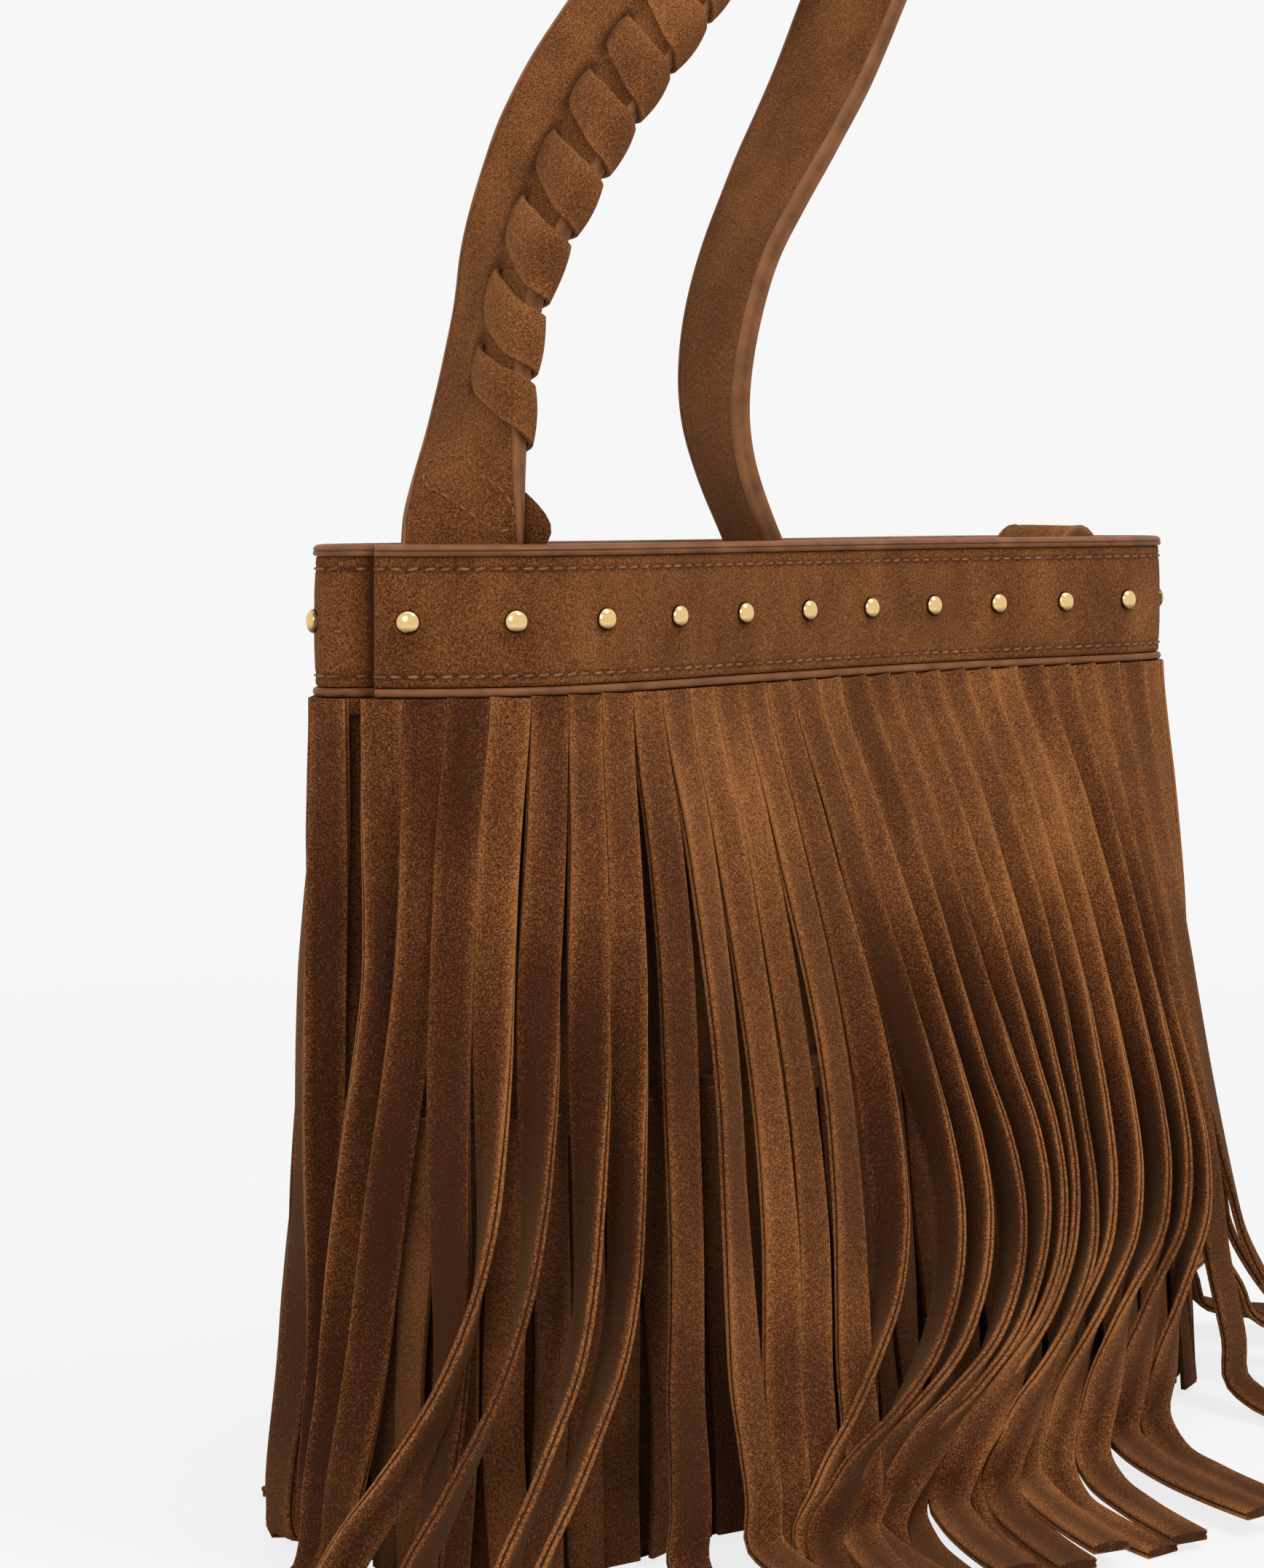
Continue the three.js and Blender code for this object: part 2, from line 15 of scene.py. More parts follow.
import bpy
import numpy as np
from mathutils import Matrix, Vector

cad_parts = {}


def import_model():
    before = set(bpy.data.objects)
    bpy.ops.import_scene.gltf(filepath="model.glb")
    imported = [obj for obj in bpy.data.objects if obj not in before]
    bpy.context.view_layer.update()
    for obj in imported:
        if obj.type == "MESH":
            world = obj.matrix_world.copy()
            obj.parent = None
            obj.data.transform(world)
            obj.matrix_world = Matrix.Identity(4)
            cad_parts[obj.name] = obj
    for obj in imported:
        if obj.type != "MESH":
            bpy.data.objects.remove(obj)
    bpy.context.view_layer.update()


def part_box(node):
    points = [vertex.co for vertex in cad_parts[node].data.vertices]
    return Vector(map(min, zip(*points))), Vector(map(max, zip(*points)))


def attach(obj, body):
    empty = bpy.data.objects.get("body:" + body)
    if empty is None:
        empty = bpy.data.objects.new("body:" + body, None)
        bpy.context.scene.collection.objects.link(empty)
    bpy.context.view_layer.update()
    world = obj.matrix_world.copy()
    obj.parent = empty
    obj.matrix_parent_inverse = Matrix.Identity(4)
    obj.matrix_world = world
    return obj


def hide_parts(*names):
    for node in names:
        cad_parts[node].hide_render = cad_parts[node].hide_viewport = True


log = logging.getLogger("fringed_bag")

MM = 0.001
SEED = 7

Colour = tuple[int, int, int]
Profile = Sequence[tuple[float, float]]


class Half(Enum):
    """The two halves of the bag. The back half is the front one turned half round."""

    FRONT = 1
    BACK = -1

    @property
    def word(self) -> str:
        """The half's name as it stands in a piece's name."""
        return self.name.lower()


class Slot(Enum):
    """The finishes named in the part's record."""

    SUEDE = "suede"
    DARK_SUEDE = "dark_suede"
    PAINT = "painted_edge"
    LINING = "lining_cloth"
    GOLD = "gold"


# Numbers as curves


def smoothstep(low: float, high: float, value: np.ndarray) -> np.ndarray:
    """An S-shaped rise from 0 at low to 1 at high: 3t^2 - 2t^3."""
    t = np.clip((value - low) / (high - low), 0.0, 1.0)
    return t * t * (3.0 - 2.0 * t)


def through(knots: np.ndarray, values: np.ndarray, at: np.ndarray) -> np.ndarray:
    """Cubic curve through table values, with each knot's slope taken from its neighbours.

    Between knots a and b it is the Hermite cubic of the two values and slopes.

    Args:
        knots: rising positions of the table's rows.
        values: one row of values at each knot.
        at: positions to read.

    Returns:
        One row of values for each position.
    """
    slopes = np.gradient(values, knots, axis=0)
    at = np.clip(at, knots[0], knots[-1])
    row = np.clip(np.searchsorted(knots, at) - 1, 0, len(knots) - 2)
    span = (knots[row + 1] - knots[row])[:, None]
    t = ((at - knots[row])[:, None]) / span
    start = (2 * t**3 - 3 * t**2 + 1) * values[row] + (t**3 - 2 * t**2 + t) * span * slopes[row]
    end = (3 * t**2 - 2 * t**3) * values[row + 1] + (t**3 - t**2) * span * slopes[row + 1]
    return start + end


def along_rows(at: np.ndarray, knots: np.ndarray, values: np.ndarray) -> np.ndarray:
    """Rows of a table read straight between its knots, one row for each position."""
    return np.stack([np.interp(at, knots, column) for column in values.T], axis=-1)


def raised(flat: np.ndarray, height: np.ndarray | float = 0.0) -> np.ndarray:
    """X and Y with a height as the third coordinate."""
    z = np.broadcast_to(np.asarray(height, dtype=float)[..., None], flat.shape[:-1] + (1,))
    return np.concatenate([flat, z], axis=-1)


def rounded_path(points: np.ndarray, per_span: int) -> np.ndarray:
    """Centripetal Catmull-Rom curve through points, the same one that the CAD source uses.

    Args:
        points: the points to pass through; the last axis is the coordinate and the one before
            it counts along the curve, so that many curves can be worked out at once.
        per_span: how many samples each span gets.

    Returns:
        The samples, ending on the last point.
    """
    first = 2 * points[..., :1, :] - points[..., 1:2, :]
    last = 2 * points[..., -1:, :] - points[..., -2:-1, :]
    whole = np.concatenate([first, points, last], axis=-2)
    p0, p1, p2, p3 = (whole[..., k : whole.shape[-2] - 3 + k, :] for k in range(4))

    def reach(a: np.ndarray, b: np.ndarray) -> np.ndarray:
        """Square root of the distance between two rows of points."""
        return np.maximum(np.linalg.norm(b - a, axis=-1, keepdims=True), 1e-6) ** 0.5

    d0, d1, d2 = reach(p0, p1), reach(p1, p2), reach(p2, p3)
    m1 = ((p1 - p0) / d0 - (p2 - p0) / (d0 + d1) + (p2 - p1) / d1) * d1
    m2 = ((p2 - p1) / d1 - (p3 - p1) / (d1 + d2) + (p3 - p2) / d2) * d1
    t = np.linspace(0.0, 1.0, per_span, endpoint=False)[:, None]
    p1, p2, m1, m2 = (a[..., None, :] for a in (p1, p2, m1, m2))
    spans = (2 * t**3 - 3 * t**2 + 1) * p1 + (t**3 - 2 * t**2 + t) * m1
    spans = spans + (3 * t**2 - 2 * t**3) * p2 + (t**3 - t**2) * m2
    flat = spans.reshape(*spans.shape[:-3], -1, spans.shape[-1])
    return np.concatenate([flat, points[..., -1:, :]], axis=-2)


def travelled(path: np.ndarray) -> np.ndarray:
    """Distance from the start at each sample of a path."""
    steps = np.linalg.norm(np.diff(path, axis=0), axis=1)
    return np.concatenate([[0.0], np.cumsum(steps)])


def unit(vectors: np.ndarray) -> np.ndarray:
    """The vectors, each of length 1."""
    return vectors / np.maximum(np.linalg.norm(vectors, axis=-1, keepdims=True), 1e-9)


# Meshes


@dataclass
class Form:
    """One piece's surface before it becomes a Blender mesh.

    Attributes:
        points: the vertices.
        faces: blocks of faces, each an array of vertex numbers.
        shade: lightness offset of each vertex, read by the materials.
    """

    points: np.ndarray
    faces: list[np.ndarray]
    shade: np.ndarray

    @staticmethod
    def tubes(rings: np.ndarray, shade: np.ndarray | float = 0.0) -> "Form":
        """Closed tubes through rings of points, with both ends capped.

        Args:
            rings: an array of tubes x stations x points around x 3.
            shade: lightness offset, of any shape that spreads to tubes x stations x around.

        Returns:
            The surface, with its faces outwards.
        """
        count, stations, around = rings.shape[:3]
        tube = np.arange(count)[:, None, None] * stations * around
        row = np.arange(stations - 1)[None, :, None] * around
        col = np.arange(around)[None, None, :]
        a = tube + row + col
        b = tube + row + (col + 1) % around
        walls = np.stack([a, b, b + around, a + around], axis=-1).reshape(-1, 4)
        start = np.arange(count)[:, None] * stations * around + np.arange(around)[::-1]
        end = np.arange(count)[:, None] * stations * around + np.arange(around)
        ends = np.concatenate([start, end + (stations - 1) * around])
        points = rings.reshape(-1, 3)
        shades = np.broadcast_to(shade, rings.shape[:3]).reshape(-1)
        form = Form(points, [walls, ends], np.array(shades, dtype=float))
        return form.outwards()

    def outwards(self) -> "Form":
        """Turns all the faces round if the surface encloses a negative volume."""
        total = 0.0
        for block in self.faces:
            corner = self.points[block]
            fan = np.cross(corner[:, 1:-1], corner[:, 2:])
            total += float(np.einsum("ik,ijk->", corner[:, 0], fan))
        if total < 0:
            self.faces = [block[:, ::-1] for block in self.faces]
        return self

    def joined(self, other: "Form") -> "Form":
        """This form and another one as a single surface."""
        moved = [block + len(self.points) for block in other.faces]
        points = np.concatenate([self.points, other.points])
        return Form(points, self.faces + moved, np.concatenate([self.shade, other.shade]))

    def piece(
        self, name: str, finish: bpy.types.Material, slot: Slot, sharp: float = 50.0
    ) -> bpy.types.Object:
        """Makes the form a Blender object that rides on the bag.

        Args:
            name: the piece's name.
            finish: its material.
            slot: the record's slot for that finish; not used.
            sharp: edges steeper than this many degrees stay crisp.

        Returns:
            The object, at the origin.
        """
        mesh = bpy.data.meshes.new(name)
        polygons = [face for block in self.faces for face in block.tolist()]
        mesh.from_pydata((self.points * MM).tolist(), [], polygons)
        mesh.attributes.new("shade", "FLOAT", "POINT").data.foreach_set("value", self.shade)
        mesh.shade_smooth()
        mesh.set_sharp_from_angle(angle=np.radians(sharp))
        mesh.materials.append(finish)
        mesh.update()
        body = bpy.data.objects.new(name, mesh)
        bpy.context.scene.collection.objects.link(body)
        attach(body, "root")
        log.info("%s: %d faces", name, len(polygons))
        return body


# Finishes


def linear(colour: Colour) -> tuple[float, float, float, float]:
    """A colour of 0 to 255 as the light values that a shader takes."""
    part = np.array(colour) / 255.0
    low = part / 12.92
    high = ((part + 0.055) / 1.055) ** 2.4
    red, green, blue = np.where(part <= 0.04045, low, high)
    return (float(red), float(green), float(blue), 1.0)


class NodeSheet:
    """The nodes of a material or a world, added and linked one after another."""

    def __init__(self, owner: bpy.types.Material | bpy.types.World) -> None:
        """Starts with the owner's nodes cleared."""
        self.owner = owner
        owner.use_nodes = True
        self.tree = owner.node_tree
        self.tree.nodes.clear()

    def node(self, kind: str, **inputs: object) -> bpy.types.Node:
        """Adds a node and fills its sockets.

        Args:
            kind: Blender's name for the node.
            inputs: socket names, with _ for a space, or input_N for the N-th socket, and what
                each takes: a number, a colour, or the output socket it is linked from.

        Returns:
            The node.
        """
        made = self.tree.nodes.new(kind)
        for word, value in inputs.items():
            number = word.removeprefix("input_")
            socket = made.inputs[int(number) if number.isdigit() else word.replace("_", " ")]
            if isinstance(value, bpy.types.NodeSocket):
                self.tree.links.new(value, socket)
            else:
                socket.default_value = value
        return made

    def maths(self, operation: str, *values: object) -> bpy.types.NodeSocket:
        """The output of a Math node on its two or three values."""
        inputs = {f"input_{k}": value for k, value in enumerate(values)}
        made = self.node("ShaderNodeMath", **inputs)
        made.operation = operation
        return made.outputs[0]

    def mixed(self, share: object, first: bpy.types.Node, second: bpy.types.Node) -> bpy.types.Node:
        """Two shaders mixed, with the given share of the second."""
        ends = {"input_1": first.outputs[0], "input_2": second.outputs[0]}
        return self.node("ShaderNodeMixShader", input_0=share, **ends)

    def bump(self, height: object, strength: float, distance: float) -> bpy.types.NodeSocket:
        """The normal of a surface that the height raises by at most the distance in metres."""
        made = self.node("ShaderNodeBump", Height=height, Strength=strength, Distance=distance)
        return made.outputs[0]

    def place(self) -> bpy.types.NodeSocket:
        """Place on the object."""
        return self.node("ShaderNodeTexCoord").outputs["Object"]

    def noise(
        self, size: float, detail: float, stretch: tuple[float, float, float] = (1, 1, 1)
    ) -> bpy.types.NodeSocket:
        """Soft noise fixed to the object, with blotches of about the given size in mm."""
        place = self.node("ShaderNodeMapping", Vector=self.place(), Scale=stretch).outputs[0]
        made = self.node("ShaderNodeTexNoise", Vector=place, Scale=1.0 / (size * MM), Detail=detail)
        return made.outputs[0]

    def ramp(
        self, factor: object, stops: Sequence[tuple[float, Colour]]
    ) -> bpy.types.NodeSocket:
        """Colours by a value, as (place, colour) stops."""
        made = self.node("ShaderNodeValToRGB", Fac=factor)
        bar = made.color_ramp
        while len(bar.elements) < len(stops):
            bar.elements.new(0.5)
        for element, (place, colour) in zip(bar.elements, stops):
            element.position = place
            element.color = linear(colour)
        return made.outputs["Color"]

    def shade(self) -> bpy.types.NodeSocket:
        """The shade value that the mesh carries."""
        made = self.node("ShaderNodeAttribute")
        made.attribute_name = "shade"
        return made.outputs["Fac"]

    def surface(self, **inputs: object) -> bpy.types.Material:
        """Closes the sheet with a Principled shader."""
        shader = self.node("ShaderNodeBsdfPrincipled", **inputs)
        self.node("ShaderNodeOutputMaterial", Surface=shader.outputs[0])
        return self.owner


@dataclass(frozen=True)
class Suede:
    """Brushed suede: a matt nap that catches light in blotches, over a fine grain.

    Attributes:
        name: the finish's name.
        dark: colour where the nap lies away from the light.
        middle: its usual colour.
        light: colour where the nap is raised.
        blotch: size of the brushed blotches.
        grain: size of the nap's tufts.
    """

    name: str
    dark: Colour
    middle: Colour
    light: Colour
    blotch: float = 20.0
    grain: float = 0.55

    def material(self) -> bpy.types.Material:
        """Nap value = blotches + tufts + the mesh's shade; it picks the colour and the bump."""
        sheet = NodeSheet(bpy.data.materials.new(self.name))
        blotches = sheet.noise(self.blotch, 3.0, (1.0, 1.0, 0.55))
        tufts = sheet.noise(self.grain, 3.0)
        fibres = sheet.noise(self.grain * 0.36, 1.0)
        nap = sheet.maths("MULTIPLY_ADD", blotches, 0.6, -0.58)
        value = sheet.maths("ADD", sheet.maths("MULTIPLY_ADD", tufts, 1.5, nap), sheet.shade())
        colour = sheet.ramp(value, [(0.2, self.dark), (0.5, self.middle), (0.82, self.light)])
        height = sheet.maths("ADD", tufts, sheet.maths("MULTIPLY", fibres, 0.5))
        return sheet.surface(
            Base_Color=colour,
            Roughness=0.93,
            Specular_IOR_Level=0.12,
            Sheen_Weight=0.28,
            Sheen_Roughness=0.45,
            Sheen_Tint=linear((214, 160, 110)),
            Normal=sheet.bump(height, 0.8, 0.0006),
        )


@dataclass(frozen=True)
class EdgePaint:
    """Smooth painted edge with a soft satin gloss.

    Attributes:
        name: the finish's name.
        dark: colour in the thin places.
        light: colour in the full ones.
    """

    name: str
    dark: Colour
    light: Colour

    def material(self) -> bpy.types.Material:
        """Long soft variation along the edge, with a slight orange-peel bump."""
        sheet = NodeSheet(bpy.data.materials.new(self.name))
        value = sheet.maths("ADD", sheet.noise(9.0, 2.0), sheet.shade())
        colour = sheet.ramp(value, [(0.25, self.dark), (0.7, self.light)])
        peel = sheet.bump(sheet.noise(1.6, 2.0), 0.35, 0.0003)
        return sheet.surface(Base_Color=colour, Roughness=0.52, Specular_IOR_Level=0.25, Normal=peel)


@dataclass(frozen=True)
class Thread:
    """Waxed sewing thread.

    Attributes:
        name: the finish's name.
        colour: the thread's colour.
    """

    name: str
    colour: Colour

    def material(self) -> bpy.types.Material:
        """One brown with a faint unevenness from stitch to stitch."""
        sheet = NodeSheet(bpy.data.materials.new(self.name))
        lighter = tuple(min(255, part + 44) for part in self.colour)
        value = sheet.maths("ADD", sheet.noise(3.0, 1.0), sheet.shade())
        colour = sheet.ramp(value, [(0.3, self.colour), (0.75, lighter)])
        return sheet.surface(Base_Color=colour, Roughness=0.7, Specular_IOR_Level=0.2)


@dataclass(frozen=True)
class Gold:
    """Polished pale gold plate.

    Attributes:
        name: the finish's name.
        colour: the metal's colour.
    """

    name: str
    colour: Colour

    def material(self) -> bpy.types.Material:
        """Mirror-like metal, deeper gold where the mesh paints shade at the foot and a dark reflection
        below.
        """
        sheet = NodeSheet(bpy.data.materials.new(self.name))
        # The deeper gold shows the painted shade and painted dark reflection that the mesh carries.
        shaded_gold = tuple(int(part * 0.42) for part in self.colour)
        value = sheet.maths("ADD", sheet.shade(), 0.5)
        colour = sheet.ramp(value, [(0.1, shaded_gold), (0.45, self.colour)])
        return sheet.surface(Base_Color=colour, Metallic=1.0, Roughness=0.1)


@dataclass(frozen=True)
class LiningCloth:
    """Fine plain-woven lining cloth.

    Attributes:
        name: the finish's name.
        dark: colour between the yarns.
        light: colour on the yarns.
        yarn: distance from yarn to yarn.
    """

    name: str
    dark: Colour
    light: Colour
    yarn: float = 0.6

    def material(self) -> bpy.types.Material:
        """Two crossing wave patterns, one of them up the wall, multiplied into a weave."""
        sheet = NodeSheet(bpy.data.materials.new(self.name))
        wave = {"Vector": sheet.place(), "Scale": 0.314 / (self.yarn * MM), "Distortion": 0.4}
        across = sheet.node("ShaderNodeTexWave", **wave)
        up = sheet.node("ShaderNodeTexWave", **wave)
        up.bands_direction = "Z"
        weave = sheet.maths("MULTIPLY", across.outputs["Fac"], up.outputs["Fac"])
        value = sheet.maths("ADD", sheet.maths("MULTIPLY", weave, 0.5), sheet.noise(12.0, 2.0))
        colour = sheet.ramp(value, [(0.3, self.dark), (0.9, self.light)])
        yarns = sheet.bump(weave, 0.4, 0.0003)
        return sheet.surface(Base_Color=colour, Roughness=0.85, Specular_IOR_Level=0.2, Normal=yarns)


@dataclass
class Finishes:
    """The finishes of this bag, made once and shared by its pieces."""

    suede: bpy.types.Material = field(init=False)
    fringe: bpy.types.Material = field(init=False)
    shaded: bpy.types.Material = field(init=False)
    paint: bpy.types.Material = field(init=False)
    thread: bpy.types.Material = field(init=False)
    gold: bpy.types.Material = field(init=False)
    lining: bpy.types.Material = field(init=False)

    def __post_init__(self) -> None:
        """Builds every material."""
        fringe = Suede("fringe_suede", (62, 30, 12), (112, 64, 31), (172, 112, 62), 30.0)
        self.suede = Suede("suede", (70, 35, 14), (118, 69, 34), (166, 108, 60)).material()
        self.fringe = fringe.material()
        self.shaded = Suede("shaded_suede", (46, 22, 9), (84, 46, 22), (122, 74, 40)).material()
        self.paint = EdgePaint("edge_paint", (100, 60, 32), (138, 88, 50)).material()
        self.thread = Thread("brown_thread", (112, 68, 36)).material()
        self.gold = Gold("pale_gold", (236, 200, 138)).material()
        self.lining = LiningCloth("lining_cloth", (70, 40, 20), (118, 76, 44)).material()


# The bag's wall


def along_seamed(count: int, gap: float = 0.0012) -> np.ndarray:
    """Fractions along a half, closer together near its two side seams."""
    even = np.linspace(0.0, 1.0, count)
    eased = even - 0.148 * np.sin(2 * np.pi * even)
    return gap + (1 - 2 * gap) * eased


@dataclass(frozen=True)
class Mouth:
    """The line that the bag's wall follows round the mouth and down to the base.

    Attributes:
        rim: points of the front half's rim, from the left side seam to the right one.
        base_length: length of the base along X.
        base_depth: length of the base along Y.
        base_corner: corner radius of the base.
        heights: heights at which the wall's share of the base outline is known.
        shares: how far the outline has gone from the rim's to the base's there.
        notch: how far the wall turns in at the side seams.
        notch_length: how far from the seam it turns in.
        top: height of the lip.
    """

    rim: tuple[tuple[float, float], ...] = (
        (-168, 0), (-146, -18), (-124, -28), (-95, -30), (-40, -24.5), (20, -19),
        (70, -18), (115, -22), (150, -23.5), (166, -19.5), (171.5, -11), (168, 0),
    )
    base_length: float = 326.0
    base_depth: float = 100.0
    base_corner: float = 30.0
    heights: tuple[float, ...] = (0.0, 60.0, 131.0, 190.0, 247.0)
    shares: tuple[float, ...] = (1.0, 0.88, 0.52, 0.2, 0.0)
    notch: float = 8.0
    notch_length: float = 3.6
    top: float = 287.0

    def _rim_line(self) -> np.ndarray:
        """The rim's front half as a dense line."""
        return rounded_path(np.array(self.rim, dtype=float), 60)

    def _base_line(self) -> np.ndarray:
        """The base's front half: a straight side between two quarter circles."""
        half, deep, corner = self.base_length / 2, self.base_depth / 2, self.base_corner
        turn = np.linspace(0.0, np.pi / 2, 40)
        x = -half + corner - corner * np.cos(turn)
        y = -deep + corner - corner * np.sin(turn)
        left = np.stack([x, y], axis=1)
        right = left[::-1] * (-1.0, 1.0)
        return np.concatenate([[[-half, 0.0]], left, right, [[half, 0.0]]])

    def plan(self, half: Half, u: np.ndarray, z: np.ndarray) -> np.ndarray:
        """Point of the wall at fraction u of a half's length and height z.

        The point is the rim's plus the base's, weighed by the height's share.

        Args:
            half: which half.
            u: fractions of the half's length, from its own left seam.
            z: heights.

        Returns:
            X and Y of each point.
        """
        u, z = np.broadcast_arrays(u, z)
        spots = []
        for line in (self._rim_line(), self._base_line()):
            far = travelled(line)
            spots.append(along_rows(u * far[-1], far, line))
        share = np.interp(z, self.heights, self.shares)[..., None]
        return (spots[0] * (1 - share) + spots[1] * share) * half.value

    def frame(self, half: Half, u: np.ndarray, z: np.ndarray) -> tuple[np.ndarray, np.ndarray, np.ndarray]:
        """Point, direction along the wall and outward direction, each in X and Y.

        Args:
            half: which half.
            u: fractions of the half's length.
            z: heights.

        Returns:
            The three arrays.
        """
        step = 0.006
        before = self.plan(half, np.clip(u - step, 0, 1), z)
        after = self.plan(half, np.clip(u + step, 0, 1), z)
        along = unit(after - before)
        out = np.stack([along[..., 1], -along[..., 0]], axis=-1)
        return self.plan(half, u, z), along, out

    def length(self) -> float:
        """Length of one half's rim."""
        return float(travelled(self._rim_line())[-1])

    def on_wall(
        self, half: Half, u: np.ndarray, z: np.ndarray, offset: np.ndarray | float
    ) -> np.ndarray:
        """Points at a distance off the wall, turned in at the side seams.

        The turn in is notch * exp(-(distance to the seam / notch length)^2).

        Args:
            half: which half.
            u: fractions of the half's length.
            z: heights.
            offset: distances outwards.

        Returns:
            X, Y and Z of each point.
        """
        u, z, offset = np.broadcast_arrays(u, z, np.asarray(offset, dtype=float))
        spot, _, out = self.frame(half, u, z)
        away = np.minimum(u, 1 - u) * self.length() / self.notch_length
        inwards = np.where(u < 0.5, 1.0, -1.0) * half.value * self.notch * np.exp(-(away**2))
        flat = spot + out * offset[..., None] + np.stack([inwards, 0 * inwards], axis=-1)
        return raised(flat, z)

    def places(self, count: int, margin: float) -> np.ndarray:
        """Fractions of a half at the middles of equal shares, between margins at its seams."""
        edge = margin / self.length()
        return edge + (1 - 2 * edge) * (np.arange(count) + 0.5) / count

    def swept(
        self,
        half: Half,
        profile: Profile,
        shade: Sequence[float] | float = 0.0,
        crease: float = 0.0,
        stations: int = 150,
    ) -> Form:
        """A closed (offset, height) profile carried along a half's wall.

        Args:
            half: which half.
            profile: the section's points.
            shade: lightness offset of each of them, or of all.
            crease: painted shade that the seams add to it, fading as a bell curve 1.2 mm from each seam.
            stations: how many sections there are.

        Returns:
            The surface.
        """
        u = along_seamed(stations)[:, None]
        offset, z = np.array(profile, dtype=float).T
        rings = self.on_wall(half, u, z[None], offset[None])
        away = np.minimum(u, 1 - u) * self.length()
        # Painted shade in the crease at each side seam.
        seam = crease * np.exp(-((away / 1.2) ** 2))
        return Form.tubes(rings[None], (np.asarray(shade, dtype=float) + seam)[None])

    def sewn(
        self, half: Half, count: int, height: float, offset: float
    ) -> tuple[np.ndarray, np.ndarray, np.ndarray]:
        """Places of a level line of stitches.

        Args:
            half: which half.
            count: how many stitches.
            height: the line's height.
            offset: its distance off the wall.

        Returns:
            The stitches' middles, and their directions along and outwards.
        """
        u = (np.arange(count) + 0.5) / count
        z = np.full(count, height)
        spot = self.on_wall(half, u, z, offset)
        along = unit(self.on_wall(half, u + 0.002, z, offset) - spot)
        out = np.stack([along[:, 1], -along[:, 0], np.zeros(count)], axis=1)
        return spot, along, out


def stitches(
    places: np.ndarray, along: np.ndarray, out: np.ndarray, length: float, width: float
) -> Form:
    """Short thread stitches: each is a tapered tube that dips into the surface at both ends.

    A stitch's height over the surface is width * (0.75 sin(pi t) - 0.35) along its length t.

    Args:
        places: middle of each stitch on the surface.
        along: direction of each stitch.
        out: direction out of the surface.
        length: a stitch's length.
        width: the thread's diameter.

    Returns:
        All the stitches as one form.
    """
    side = np.cross(along, out)
    t = np.linspace(0.0, 1.0, 5)
    lift = width * (0.75 * np.sin(np.pi * t) - 0.35)
    middle = places[:, None] + along[:, None] * ((t - 0.5) * length)[:, None]
    middle = middle + out[:, None] * lift[:, None]
    radius = width / 2 * (0.55 + 0.45 * np.sin(np.pi * t))
    turn = np.arange(6) * np.pi / 3
    round_way = side[:, None, None] * np.cos(turn)[:, None]
    round_way = round_way + out[:, None, None] * np.sin(turn)[:, None]
    rings = middle[:, :, None] + round_way * radius[None, :, None, None]
    return Form.tubes(rings)


